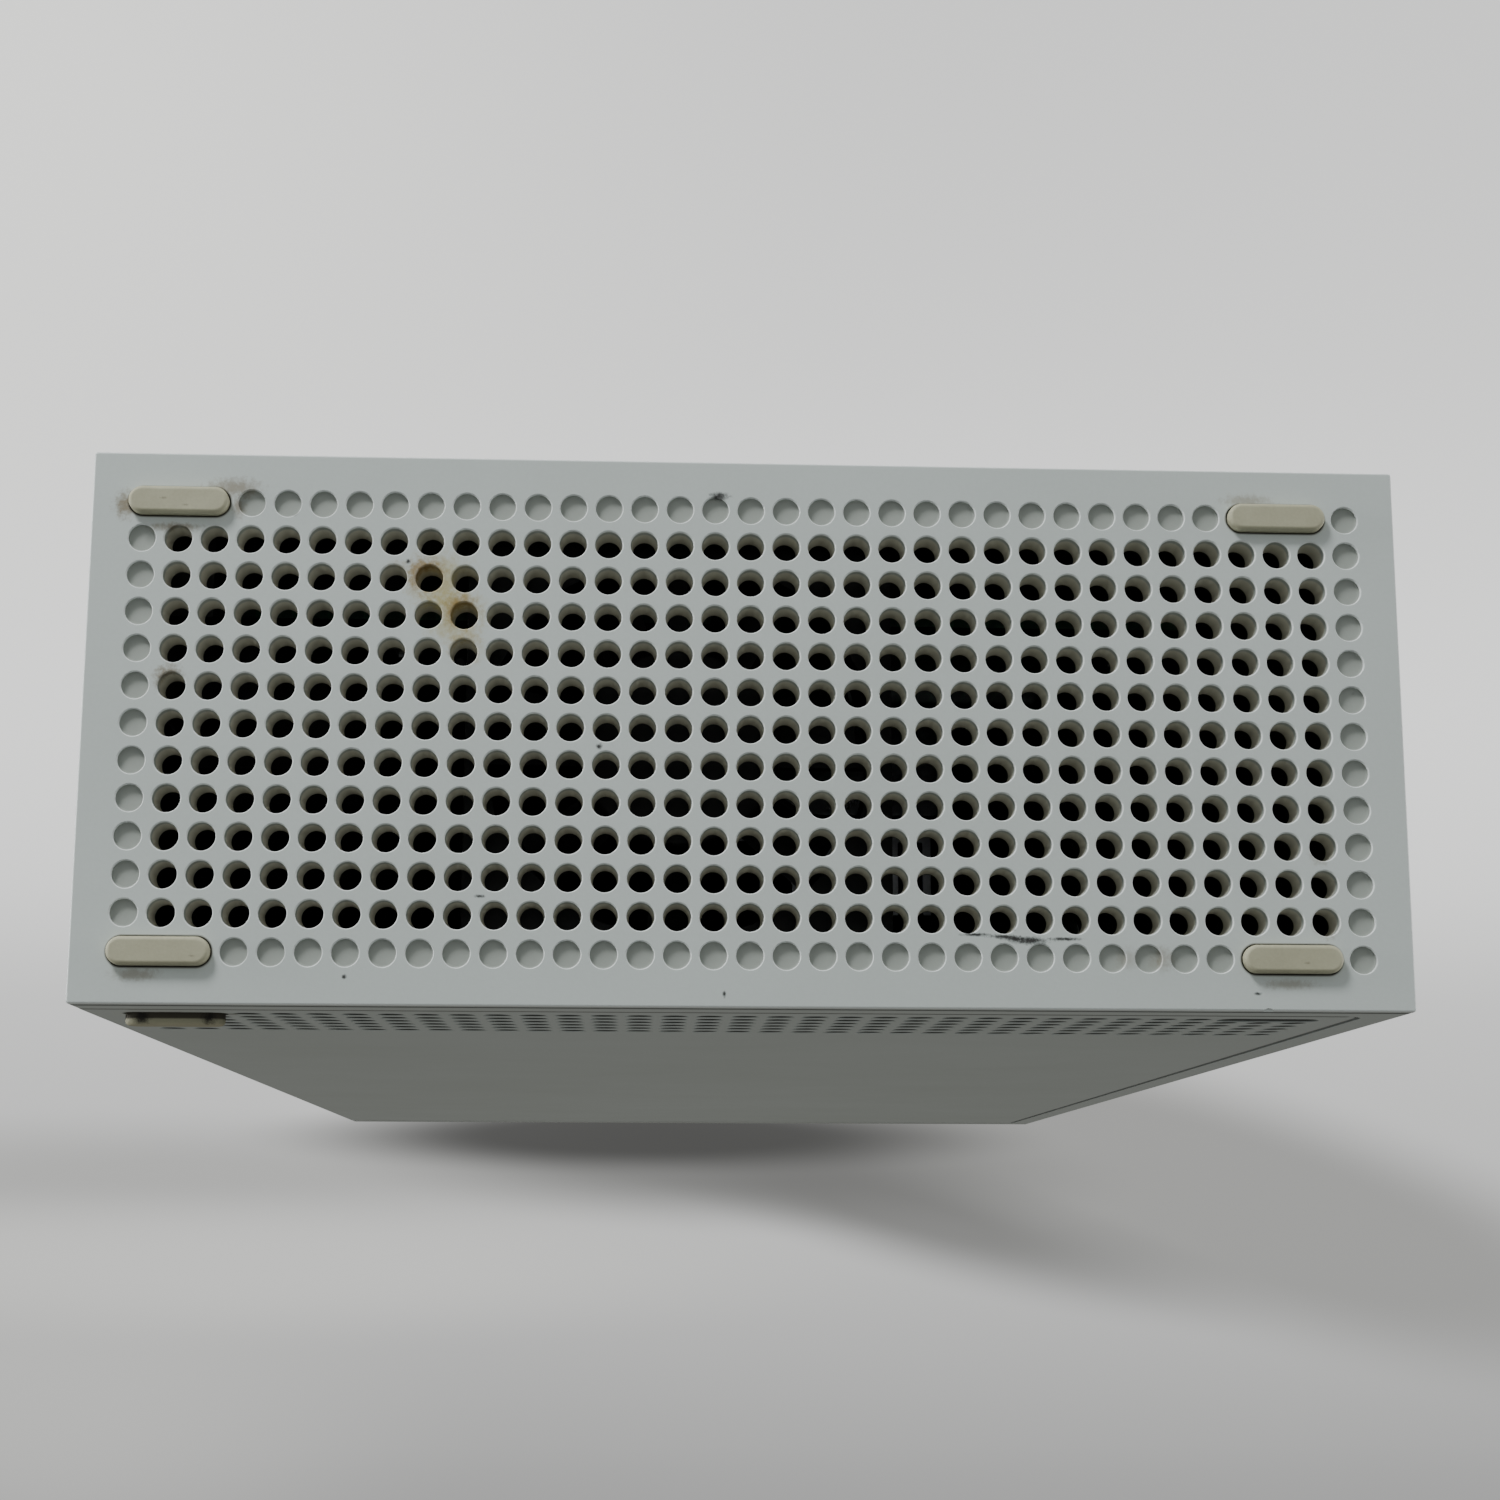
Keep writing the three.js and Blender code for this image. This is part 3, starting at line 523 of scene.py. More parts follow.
STAINS = (  # column and row, reach in mm, colour, share
    ((8.3, 2.1), 5.8, "#b8a850", 0.6),
    ((8.75, 3.0), 5.6, "#b8a850", 0.6),
    ((7.9, 1.9), 3.6, "#8f6a14", 0.8),
    ((7.1, 1.9), 2.4, "#9d8432", 0.6),
    ((8.9, 2.9), 3.3, "#8f6a14", 0.75),
    ((9.05, 3.9), 3.2, "#ad9438", 0.55),
)
for place_on_grid, reach, colour, share in STAINS:
    mark_plate(place_on_grid, reach, (1, 1, 1), 0.7, 0.85, colour, share)
GRIME = (  # column and row, reach in mm, squeeze, share
    ((2.5, -0.42), 3.0, (1.5, 0.55, 1), 0.6),
    ((-0.5, 0.1), 2.3, (0.8, 1, 1), 0.75),
    ((0.9, 0.7), 2.4, (2.4, 0.45, 1), 0.6),
    ((2.65, 0.1), 1.7, (0.7, 1.2, 1), 0.6),
    ((0.4, 12.6), 2.4, (1.8, 0.5, 1), 0.45),
    ((31.9, 12.65), 2.2, (2.0, 0.4, 1), 0.4),
    ((31.2, -0.5), 2.6, (1.8, 0.5, 1), 0.45),
    ((1.0, 1.0), 2.3, (1, 1, 1), 0.5),
    ((1.0, 3.0), 2.2, (1, 1, 1), 0.45),
    ((0.9, 4.8), 2.9, (1, 1, 1), 0.8),
    ((2.0, 5.0), 2.1, (1, 1, 1), 0.5),
    ((7.0, 2.0), 1.9, (1, 1, 1), 0.5),
    ((8.0, 5.1), 1.9, (1, 1, 1), 0.55),
    ((32.9, 9.2), 2.1, (1, 1, 1), 0.5),
    ((29.0, 10.1), 2.0, (1, 1, 1), 0.45),
    ((33.0, 11.1), 2.5, (1, 1, 1), 0.6),
    ((28.4, 12.0), 2.5, (1, 1, 1), 0.4),
    ((27.4, 12.0), 2.2, (1, 1, 1), 0.3),
)
for place_on_grid, reach, squeeze, share in GRIME:
    mark_plate(place_on_grid, reach, squeeze, 0.6, 0.95, "#745c28", share)
SCUFFS = (  # column and row, reach in mm, squeeze
    ((23.2, 11.4), 2.2, (6.0, 0.8, 1)),
    ((24.0, 11.45), 2.6, (6.0, 0.9, 1)),
    ((24.7, 11.55), 3.6, (4.6, 1.0, 1)),
    ((24.3, 11.5), 2.4, (4.6, 1.0, 1)),
    ((25.7, 11.5), 2.4, (6.5, 0.8, 1)),
    ((24.2, 11.25), 0.9, (2.0, 1, 1)),
    ((16.1, -0.4), 2.0, (2.6, 1, 1)),
    ((7.4, 1.55), 0.5, (1, 1, 1)),
    ((4.2, 0.25), 0.7, (1, 1, 1)),
    ((12.8, 6.5), 0.6, (1, 1, 1)),
    ((6.0, 12.62), 0.5, (1, 1, 1)),
    ((16.3, 13.0), 0.7, (1, 2, 1)),
    ((9.6, 10.5), 0.7, (2, 0.7, 1)),
    ((31.0, 12.9), 0.6, (2, 0.7, 1)),
    ((34.1, 4.8), 1.0, (1, 1, 1)),
)
for place_on_grid, reach, squeeze in SCUFFS:
    mark_plate(place_on_grid, reach, squeeze, 0.38, 0.9, "#1c1a17", 0.96)


def pocket_gap_shade(tree, place, centre):
    """Painted shade in the gap round one foot: dark beside the rubber, and gone a little way out."""
    x, y, z = apart(tree, vector_maths(tree, "SUBTRACT", place, centre))
    past = maths(
        tree, "SUBTRACT", maths(tree, "ABSOLUTE", y), (FOOT_LENGTH - FOOT_WIDTH) / 2
    )
    end = maths(tree, "MAXIMUM", past, 0.0)
    out = add(tree, "ShaderNodeCombineXYZ", {0: x, 1: end}).outputs[0]
    rim = FOOT_WIDTH / 2 + POCKET_GAP
    return ranged(tree, vector_maths(tree, "LENGTH", out), rim, rim + 0.22 * MM, 1.0, 0.0)


# A dark brown painted shade in the gap round each foot.
for row in FOOT_ROWS:
    for column in FOOT_COLUMNS:
        darkened = pocket_gap_shade(plate_tree, plate_place, on_plate(column, row))
        lay_mark(plate_tree, plate_surface, darkened, "#4a3f2c", 0.75)
print("marks on the plate:", len(STAINS) + len(GRIME) + len(SCUFFS))

# %% [markdown]
# ## Foot rubber
# The feet are a soft beige rubber that has yellowed against the white case. It is matt, a little
# uneven in tint, and it holds dirt along its rim. The foot on the side cover is darker towards
# its base against the cover, and has two dark spots.

# %% Foot rubber finish
TPE = ("#c2c0a4", "#aeab90", 7, 0.35, (0.55, 0.75), 0.03)
foot_rubber, foot_tree, foot_place, foot_surface = surface_recipe("yellowed_tpe", *TPE)
FOOT_SPOTS = (  # foot column and row, then the spot's offset along and across in mm
    ((1, 0), (-1.7, -0.1)),
    ((1, 0), (0.9, 0.7)),
    ((1, 12), (3.9, 0.6)),
    ((32, 12), (1.4, 0.5)),
)
for (column, row), (along_mm, across_mm) in FOOT_SPOTS:
    x, y, z = on_plate(column, row)
    spot = (x + across_mm * MM, y - along_mm * MM, 0.0)
    stroke = mark(foot_tree, foot_place, spot, 0.9 * MM, (2.5, 1, 0.5), 0.4, 1.3)
    lay_mark(foot_tree, foot_surface, stroke, "#7b7462", 0.6)

side_rubber, side_tree, side_place, side_surface = surface_recipe("yellowed_tpe_side_foot", *TPE)
side_out = apart(side_tree, side_place)[0]
# The side foot darkens towards its base against the cover.
darker_base = ranged(
    side_tree, side_out, cover_high.x + 0.55 * MM, cover_high.x + 0.8 * MM, 1.0, 0.0
)
lay_mark(side_tree, side_surface, darker_base, "#332b20", 0.9)
foot_face_z = plate_low.z + VENT_FIRST - FOOT_WIDTH / 2
for column in (0.15, 2.0):
    blob = (cover_high.x + 0.6 * MM, column_y(column), foot_face_z)
    strength = mark(side_tree, side_place, blob, 1.3 * MM, (1, 0.8, 1), 0.5, 0.9)
    lay_mark(side_tree, side_surface, strength, "#1a1510", 0.95)
print("spots on the feet:", len(FOOT_SPOTS))

# %% [markdown]
# ## A tree that drills holes
# The vent holes are one shape repeated hundreds of times, so a Geometry Nodes tree makes them. It
# reads a set of bare points, puts a cutter on each and takes all the cutters away from the plate
# at once. The cutter is a closed cylinder. Its first ring is wider, which gives each hole its
# small chamfer, and its last one may be narrower. That gives a blind dimple its dished floor and
# a through hole its taper.

# %% The drilling tree


def new_tree(name, **inputs):
    """A tree that takes a shape and the named inputs. It is closed by give_back."""
    tree = bpy.data.node_groups.new(name, "GeometryNodeTree")
    face = tree.interface
    face.new_socket("Geometry", in_out="INPUT", socket_type="NodeSocketGeometry")
    for title, kind in inputs.items():
        face.new_socket(title.replace("_", " "), in_out="INPUT", socket_type="NodeSocket" + kind)
    face.new_socket("Geometry", in_out="OUTPUT", socket_type="NodeSocketGeometry")
    return tree, add(tree, "NodeGroupInput").outputs


def give_back(tree, shape, material):
    """Makes copies real, gives them their finish and hands them back."""
    real = add(tree, "GeometryNodeRealizeInstances", {"Geometry": shape}).outputs[0]
    painted = add(tree, "GeometryNodeSetMaterial", {"Geometry": real, "Material": material})
    add(tree, "NodeGroupOutput", {0: painted.outputs[0]})
    return tree


def drilling_tree():
    tree, given = new_tree(
        "drilled holes",
        Places="Object",
        Diameter="Float",
        Chamfer="Float",
        Depth="Float",
        Dish="Float",
        Dish_inset="Float",
        Sides="Int",
        Turn="Vector",
        Stretch="Vector",
        Finish="Material",
    )
    clearance = 0.6 * MM  # how far a cutter starts above the face

    def sum_of(first, factor, rest):
        return maths(tree, "MULTIPLY_ADD", first, factor, rest)

    # The blank's four rings stand at -1, -1/3, 1/3 and 1. Three ramps say which stretch a ring is in.
    blank = add(
        tree,
        "GeometryNodeMeshCylinder",
        {"Vertices": given["Sides"], "Side Segments": 3, "Radius": 1.0, "Depth": 2.0},
        fill_type="NGON",
    ).outputs["Mesh"]
    x, y, z = apart(tree, add(tree, "GeometryNodeInputPosition").outputs[0])
    mouth = maths(tree, "MAXIMUM", sum_of(z, -1.5, -0.5), 0.0)
    wall = add(tree, "ShaderNodeClamp", {"Value": sum_of(z, 1.5, 0.5)}).outputs[0]
    dish = maths(tree, "MAXIMUM", sum_of(z, 1.5, -0.5), 0.0)
    flare = maths(tree, "ADD", given["Chamfer"], clearance)
    half = maths(tree, "MULTIPLY", given["Diameter"], 0.5)
    inset = maths(tree, "MULTIPLY", given["Dish inset"], -1.0)
    radius = sum_of(dish, inset, sum_of(mouth, flare, half))
    edges = maths(tree, "ADD", given["Chamfer"], given["Dish"])
    straight = maths(tree, "SUBTRACT", given["Depth"], edges)
    lift = maths(tree, "MULTIPLY", flare, -1.0)
    level = sum_of(dish, given["Dish"], sum_of(wall, straight, sum_of(mouth, lift, given["Chamfer"])))
    place = add(
        tree,
        "ShaderNodeCombineXYZ",
        {0: maths(tree, "MULTIPLY", x, radius), 1: maths(tree, "MULTIPLY", y, radius), 2: level},
    ).outputs[0]
    shaped = add(tree, "GeometryNodeSetPosition", {"Geometry": blank, "Position": place}).outputs[0]
    points = add(
        tree,
        "GeometryNodeMeshToPoints",
        {"Mesh": add(tree, "GeometryNodeObjectInfo", {"Object": given["Places"]}).outputs["Geometry"]},
    ).outputs[0]
    cutters = add(
        tree,
        "GeometryNodeInstanceOnPoints",
        {
            "Points": points,
            "Instance": shaped,
            "Rotation": given["Turn"],
            "Scale": given["Stretch"],
        },
    ).outputs[0]
    loose = add(tree, "GeometryNodeRealizeInstances", {"Geometry": cutters}).outputs[0]
    drilled = add(
        tree,
        "GeometryNodeMeshBoolean",
        {"Mesh 1": given["Geometry"], "Mesh 2": loose},
        operation="DIFFERENCE",
        solver="MANIFOLD",
    ).outputs[0]
    return give_back(tree, drilled, given["Finish"])


DRILL = drilling_tree()


def run_tree(piece, tree, **values):
    """Runs a Geometry Nodes tree on a piece and keeps the result as its mesh."""
    step = piece.modifiers.new(tree.name, "NODES")
    step.node_group = tree
    named = {item.name: item.identifier for item in tree.interface.items_tree if item.in_out == "INPUT"}
    for name, value in values.items():
        step[named[name.replace("_", " ")]] = value
    return settle(piece)


def drill(piece, places, **sizes):
    """Drills one hole at each place. Sizes are the tree's inputs, by name."""
    spots = new_piece("places", lambda shape: [shape.verts.new(p) for p in places])
    before = triangles(piece)
    run_tree(piece, DRILL, Places=spots, **sizes)
    bpy.data.objects.remove(spots)
    print(f"drilled {len(places)} holes in {piece.name}: {before} to {triangles(piece)} triangles")
    return piece


# %% [markdown]
# ## A tree that repeats a shape along a line
# Slots, contact wires and the like stand in a row at an even step. A mesh line gives the points,
# and the shape is put on each of them. Its inputs are the count and the step from one to the
# next.

# %% The row tree


def row_tree():
    tree, given = new_tree("row of copies", Count="Int", Step="Vector", Finish="Material")
    line = add(
        tree, "GeometryNodeMeshLine", {"Count": given["Count"], "Offset": given["Step"]}, mode="OFFSET"
    ).outputs[0]
    copies = add(
        tree, "GeometryNodeInstanceOnPoints", {"Points": line, "Instance": given["Geometry"]}
    ).outputs[0]
    return give_back(tree, copies, given["Finish"])


ROW = row_tree()
print("trees so far:", [group.name for group in bpy.data.node_groups])

# %% [markdown]
# ## Foot end plate
# A thin slab closes the foot end, and a lip behind it plugs into the shell. The slab's long edges
# have a small round from the mould. The open holes go right through, the outer ring is only
# dimples where the wall stands behind, and four pill-shaped pockets take the feet. One knock has
# left a nick in an edge.

# %% Foot end plate
PLATE_EDGE = 1.3 * MM
LIP_INSET = 2.55 * MM
POCKET_DEPTH = 1.0 * MM
CORNER = 0.35 * MM


def end_plate(name, low, high, face_down):
    slab_low, slab_high = (low.z, low.z + PLATE_EDGE) if face_down else (high.z - PLATE_EDGE, high.z)
    slab = pushed(name, rounded_box(low.x, low.y, high.x, high.y, CORNER), "z", slab_low, slab_high)
    ease(slab, 0.26 * MM, 3, 50)
    lip = pushed(
        "lip",
        rounded_box(
            low.x + LIP_INSET, low.y + LIP_INSET, high.x - LIP_INSET, high.y - LIP_INSET, CORNER
        ),
        "z",
        low.z + (PLATE_EDGE / 2 if face_down else 0),
        high.z - (0 if face_down else PLATE_EDGE / 2),
    )
    return combine(slab, [lip], "UNION")


BEYOND = 1 * MM  # how far a cutter stands out of the piece it cuts
foot_plate = end_plate("foot_end_plate", plate_low, plate_high, True)
pockets = [
    pushed(
        "pocket",
        pill(row_x(row), column_y(column), FOOT_LENGTH + 2 * POCKET_GAP, FOOT_WIDTH + 2 * POCKET_GAP),
        "z",
        plate_low.z - BEYOND,
        plate_low.z + POCKET_DEPTH,
    )
    for row in FOOT_ROWS
    for column in FOOT_COLUMNS
]
nick = ring(plate_high.x + 0.5 * MM, column_y(31.3), 0.85 * MM, 24)
pockets.append(pushed("nick", nick, "z", plate_low.z - BEYOND, plate_low.z + 0.4 * MM))
combine(foot_plate, pockets, "DIFFERENCE")

ROUND_HOLE = {  # what every hole of the plate shares
    "Chamfer": 0.12 * MM,
    "Sides": 28,
    "Turn": (0.0, 0.0, 0.0),
    "Stretch": (1.01, 1.0, 1.0),
    "Finish": plate_abs,
}
open_places = [on_plate(c, r) for r in range(1, ROWS - 1) for c in range(1, COLUMNS - 1)]
drill(
    foot_plate,
    open_places,
    Diameter=HOLE_DIAMETER,
    Depth=5.2 * MM,
    Dish=5.0 * MM,
    Dish_inset=0.34 * MM,
    **ROUND_HOLE,
)
ring_places = [
    on_plate(c, r)
    for r in range(ROWS)
    for c in range(COLUMNS)
    if (r in FOOT_ROWS and not any(abs(c - f) <= 1 for f in FOOT_COLUMNS))
    or (c in (0, COLUMNS - 1) and 0 < r < ROWS - 1)
]
drill(
    foot_plate,
    ring_places,
    Diameter=HOLE_DIAMETER - 0.1 * MM,
    Depth=0.68 * MM,
    Dish=0.14 * MM,
    Dish_inset=0.3 * MM,
    **ROUND_HOLE,
)
flat_and_round(foot_plate)
mount(foot_plate, "case", "case_plastic", plate_abs, "foot_end_grille")

# %% [markdown]
# ## Top end plate
# Warm air leaves through the top, so the same plate has long slots there in place of holes. A
# slot is an outline pushed through, and the row of them is cut in one step from one joined
# cutter.

# %% Top end plate
top_low, top_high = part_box("top_end_grille")
top_plate = end_plate("top_end_plate", top_low, top_high, False)
SLOT_LENGTH = 34 * MM
SLOT_WIDTH = 2.2 * MM
slot_x = (top_low.x + top_high.x) / 2
slot_outline = [(slot_x + v, column_y(1) + u) for u, v in pill(0, 0, SLOT_LENGTH, SLOT_WIDTH, 8)]
slots = pushed("slots", slot_outline, "z", top_low.z - BEYOND, top_high.z + BEYOND)
run_tree(slots, ROW, Count=COLUMNS - 2, Step=(0.0, -column_pitch, 0.0), Finish=top_abs)
combine(top_plate, [slots], "DIFFERENCE")
flat_and_round(top_plate)
mount(top_plate, "case", "case_plastic", top_abs, "top_end_grille")

# %% [markdown]
# ## Dust mesh under the top plate
# A thin woven mesh lies against the slots. It keeps dust out of the case, and it also keeps
# daylight from shining right through the slots to the foot end.

# %% Top dust mesh
MESH_HALF_WIDTH = 19 * MM
MESH_PAST_SLOTS = 3 * MM
mesh_outline = rounded_box(
    slot_x - MESH_HALF_WIDTH,
    column_y(COLUMNS - 2) - MESH_PAST_SLOTS,
    slot_x + MESH_HALF_WIDTH,
    column_y(1) + MESH_PAST_SLOTS,
    1 * MM,
)
top_mesh = pushed(
    "top_dust_mesh", mesh_outline, "z", top_low.z - 0.45 * MM, top_low.z - 0.05 * MM
)
ease(top_mesh, 0.08 * MM, 2, 40)
flat_and_round(top_mesh)
mount(top_mesh, "case", "filter_mesh", filter_nylon)

# %% [markdown]
# ## Main shell
# The shell is one deep moulding with bosses and posts inside. Its true form is already in the
# frame, so it is traced from there. Its four long corners get the case's corner round first, and
# then every other edge gets the small one.

# %% Main shell
main_shell = traced("main_shell_moulding", "main_shell")


def round_long_corners(piece, radius):
    shape = bmesh.new()
    shape.from_mesh(piece.data)
    at_corner = []
    for edge in shape.edges:
        a, b = (vertex.co for vertex in edge.verts)
        upright = abs(a.x - b.x) < 0.01 * MM and abs(a.y - b.y) < 0.01 * MM
        outside_x = min(abs(a.x - shell_low.x), abs(a.x - shell_high.x)) < 0.01 * MM
        outside_y = min(abs(a.y - shell_low.y), abs(a.y - shell_high.y)) < 0.01 * MM
        if upright and outside_x and outside_y:
            at_corner.append(edge)
    bmesh.ops.bevel(
        shape, geom=at_corner, offset=radius, segments=6, profile=0.5, affect="EDGES"
    )
    shape.to_mesh(piece.data)
    shape.free()
    return len(at_corner)


print("long corners rounded:", round_long_corners(main_shell, CORNER))
ease(main_shell, 0.22 * MM, 2, 40)
flat_and_round(main_shell)
mount(main_shell, "case", "case_plastic", shell_abs, "main_shell")

# %% [markdown]
# ## Side cover
# The cover is an L: the side panel with six rows of vents, and the rear wall with an opening for
# every socket and button. The openings are cut around the sockets themselves, so each one has the
# same even gap. Two pockets take the side feet, and the front one has lost its foot.

# %% Side cover
WALL = 2.2 * MM
COVER_CORNER = 2.5 * MM
rear_wall_low_x = shell_low.x + 6.45 * MM
panel_outline = (
    [(cover_high.y, cover_low.z), (cover_high.y, cover_high.z)]
    + arc(cover_low.y + COVER_CORNER, cover_high.z - COVER_CORNER, COVER_CORNER, 90, 180, 8)
    + arc(cover_low.y + COVER_CORNER, cover_low.z + COVER_CORNER, COVER_CORNER, 180, 270, 8)
)
side_cover = pushed("side_cover_moulding", panel_outline, "x", cover_high.x - WALL, cover_high.x)
rear_wall = pushed(
    "rear_wall",
    [
        (cover_low.z, rear_wall_low_x),
        (cover_high.z, rear_wall_low_x),
        (cover_high.z, cover_high.x),
        (cover_low.z, cover_high.x),
    ],
    "y",
    cover_high.y - WALL,
    cover_high.y,
)
combine(side_cover, [rear_wall], "UNION")
ease(side_cover, 0.25 * MM, 3, 40)

JACKS = ("wan_jack", "lan_jack_1", "lan_jack_2", "lan_jack_3", "lan_jack_4")
SOCKETS = JACKS + ("usb_socket", "power_inlet")
POWER_CAP = 4.0 * MM
RESET_CAP = 1.2 * MM
WPS_CAP = 3.5 * MM
SCREW_HEAD_HOLE = 3.15 * MM
SCREW_HOLE = 1.75 * MM


def square_opening(node):
    low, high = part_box(node)
    return pushed(
        "opening",
        rounded_box(low.z - GAP, low.x - GAP, high.z + GAP, high.x + GAP, 0.5 * MM, 4),
        "y",
        cover_high.y - 2 * WALL,
        cover_high.y + WALL,
    )


def round_opening(node, radius, depth):
    low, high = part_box(node)
    middle = (low + high) / 2
    return pushed("opening", ring(middle.z, middle.x, radius), "y", depth, cover_high.y + WALL)


through = cover_high.y - 2 * WALL
screw_seat = cover_high.y - WALL + 0.6 * MM
openings = [square_opening(node) for node in SOCKETS]
openings += [
    round_opening("power_button", POWER_CAP + GAP, through),
    round_opening("reset_button", RESET_CAP + GAP, through),
]
for screw in ("cover_screw_1", "cover_screw_2"):
    openings += [
        round_opening(screw, SCREW_HEAD_HOLE, screw_seat),
        round_opening(screw, SCREW_HOLE, through),
    ]
foot_z = plate_low.z + VENT_FIRST
for column in FOOT_COLUMNS:
    outline = pill(foot_z, column_y(column), FOOT_LENGTH + 2 * GAP, FOOT_WIDTH + 2 * GAP)
    swapped = [(v, u) for u, v in outline]
    pocket_floor = cover_high.x - POCKET_DEPTH
    openings.append(pushed("pocket", swapped, "x", pocket_floor, cover_high.x + BEYOND))
combine(side_cover, openings, "DIFFERENCE")
vent_places = [
    (cover_high.x, column_y(column), plate_low.z + VENT_FIRST + row * VENT_STEP)
    for row in range(VENT_ROWS)
    for column in range(COLUMNS - 1)
    if row or not any(abs(column - foot) <= 1 for foot in FOOT_COLUMNS)
]
drill(
    side_cover,
    vent_places,
    Diameter=HOLE_DIAMETER,
    Chamfer=0.12 * MM,
    Depth=4 * MM,
    Dish=0.1 * MM,
    Dish_inset=0.0,
    Sides=24,
    Turn=(0.0, -math.pi / 2, 0.0),
    Stretch=(1.0, 1.0, 1.0),
    Finish=cover_abs,
)
flat_and_round(side_cover)
for column, reach in ((1.0, 5.2), (2.6, 2.4)):
    centre = (cover_high.x, column_y(column), foot_z)
    strength = mark(cover_tree, cover_place, centre, reach * MM, (1, 0.8, 1.3))
    lay_mark(cover_tree, cover_surface, strength, "#5d5440", 0.55)
mount(side_cover, "case", "case_plastic", cover_abs, "side_cover")

# %% [markdown]
# ## Feet
# Each foot is a pill of rubber let into its pocket. Its standing face is flat and its rim is well
# rounded, because soft rubber leaves the mould without a hard edge. The outline is pushed and its
# rim gets a round of half a millimetre.

# %% Feet


def rubber_foot(name, outline, along, low, high, material, node):
    foot = pushed(name, outline, along, low, high)
    ease(foot, 0.5 * MM, 5, 50)
    flat_and_round(foot, 50)
    mount(foot, "case", "foot_rubber", material, node)


for node in sorted(name for name in nodes if name.startswith("base_foot")):
    low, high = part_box(node)
    middle = (low + high) / 2
    outline = pill(middle.x, middle.y, FOOT_LENGTH, FOOT_WIDTH, 18)
    rubber_foot(node.replace("base", "rubber"), outline, "z", low.z, high.z, foot_rubber, node)
side_low, side_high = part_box("side_foot_rear")
side_middle = (side_low + side_high) / 2
side_outline = [(v, u) for u, v in pill(side_middle.z, side_middle.y, FOOT_LENGTH, FOOT_WIDTH, 18)]
rubber_foot(
    "rubber_side_foot", side_outline, "x", side_low.x, side_high.x, side_rubber, "side_foot_rear"
)

# %% [markdown]
# ## Sockets and their contacts
# A network jack is a black moulding with eight sprung wires along one wall of its mouth. The
# moulding is traced from the frame and its edges are eased. The wires are one thin bar repeated
# eight times.

# %% Sockets
for node in SOCKETS:
    socket = traced(node + "_body", node)
    ease(socket, 0.12 * MM, 2, 40)
    flat_and_round(socket)
    stuff = ("sheet_steel", shield_steel) if node == "usb_socket" else ("dark_plastic", jack_pbt)
    mount(socket, "case", *stuff, node)

WIRES = 8
WIRE_STEP = 1.02 * MM


def first_wire(shape, low, high):
    """The lowest of the eight wires, leaning a little out of the back of the mouth."""
    middle = (low + high) / 2
    back, front = high.y - 12 * MM, high.y - 2.2 * MM
    at = Matrix.Translation((middle.x - 3.1 * MM, (front + back) / 2, middle.z - 3.5 * WIRE_STEP))
    lean = Matrix.Rotation(math.radians(-9), 4, "Z")
    size = Matrix.Diagonal((0.4 * MM, front - back, 0.35 * MM, 1))
    bmesh.ops.create_cube(shape, size=1, matrix=at @ lean @ size)


for node in JACKS:
    low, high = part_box(node)
    wires = new_piece(node + "_contacts", lambda shape: first_wire(shape, low, high))
    ease(wires, 0.06 * MM, 2, 40)
    run_tree(wires, ROW, Count=WIRES, Step=(0.0, 0.0, WIRE_STEP), Finish=contact_gold)
    mount(wires, "case", "sheet_steel", contact_gold)

# %% [markdown]
# ## Buttons and the light bar
# The caps are round with a softly dished face, and each has a flange behind the wall that stops
# it from falling out. Turned outlines would give the dish; here each cap is a pushed ring with an
# eased rim, without it. The light bar is a frosted pill that spreads the light of the lamps behind it.

# %% Buttons and light bar
COLLAR_WIDTH = 1.2 * MM


def cap(node, radius, flange, toward, body):
    low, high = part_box(node)
    middle = (low + high) / 2
    piece = pushed(node + "_cap", ring(middle.z, middle.x, radius, 48), "y", low.y, high.y)
    ease(piece, 0.35 * MM, 4, 50)
    face = high.y if toward > 0 else low.y
    near, far = face - toward * flange[0], face - toward * flange[1]
    collar_outline = ring(middle.z, middle.x, radius + COLLAR_WIDTH, 48)
    collar = pushed("collar", collar_outline, "y", min(near, far), max(near, far))
    combine(piece, [collar], "UNION")
    flat_and_round(piece)
    mount(piece, body, "button_plastic", button_abs, node)


cap("power_button", POWER_CAP, (2.45 * MM, 3.75 * MM), 1, "power_button")
cap("reset_button", RESET_CAP, (1.15 * MM, 2.45 * MM), 1, "reset_button")
cap("wps_button", WPS_CAP, (2.45 * MM, 3.75 * MM), -1, "wps_button")
bar_low, bar_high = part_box("light_bar")
bar_middle = (bar_low + bar_high) / 2
bar_size = bar_high - bar_low
bar_outline = [(v, u) for u, v in pill(bar_middle.x, bar_middle.z, bar_size.z, bar_size.x)]
light_bar = pushed("light_bar_lens", bar_outline, "y", bar_low.y, bar_high.y)
ease(light_bar, 0.2 * MM, 3, 50)
flat_and_round(light_bar)
mount(light_bar, "case", "light_plastic", light_polycarbonate, "light_bar")

# %% [markdown]
# ## Fan rotor
# A fan blade is a thin curved sheet that twists from the hub to the tip. Each blade here is
# lofted from seven stations, and one blade is repeated round the hub with a Geometry Nodes tree.

# %% Fan rotor
rotor_low, rotor_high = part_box("fan_rotor")
rotor_middle = (rotor_low + rotor_high) / 2
HUB_RADIUS = 12.0 * MM
TIP_RADIUS = (rotor_high.x - rotor_low.x) / 2 - 0.15 * MM
BLADES = 7
STATIONS = 7  # along a blade, and points across it
CHORD = 8.2 * MM
CAMBER = 0.9 * MM
ROOT_ANGLE = 48
TWIST = 16
BLADE_HEIGHT = 0.78  # share of the full height that the twist would give


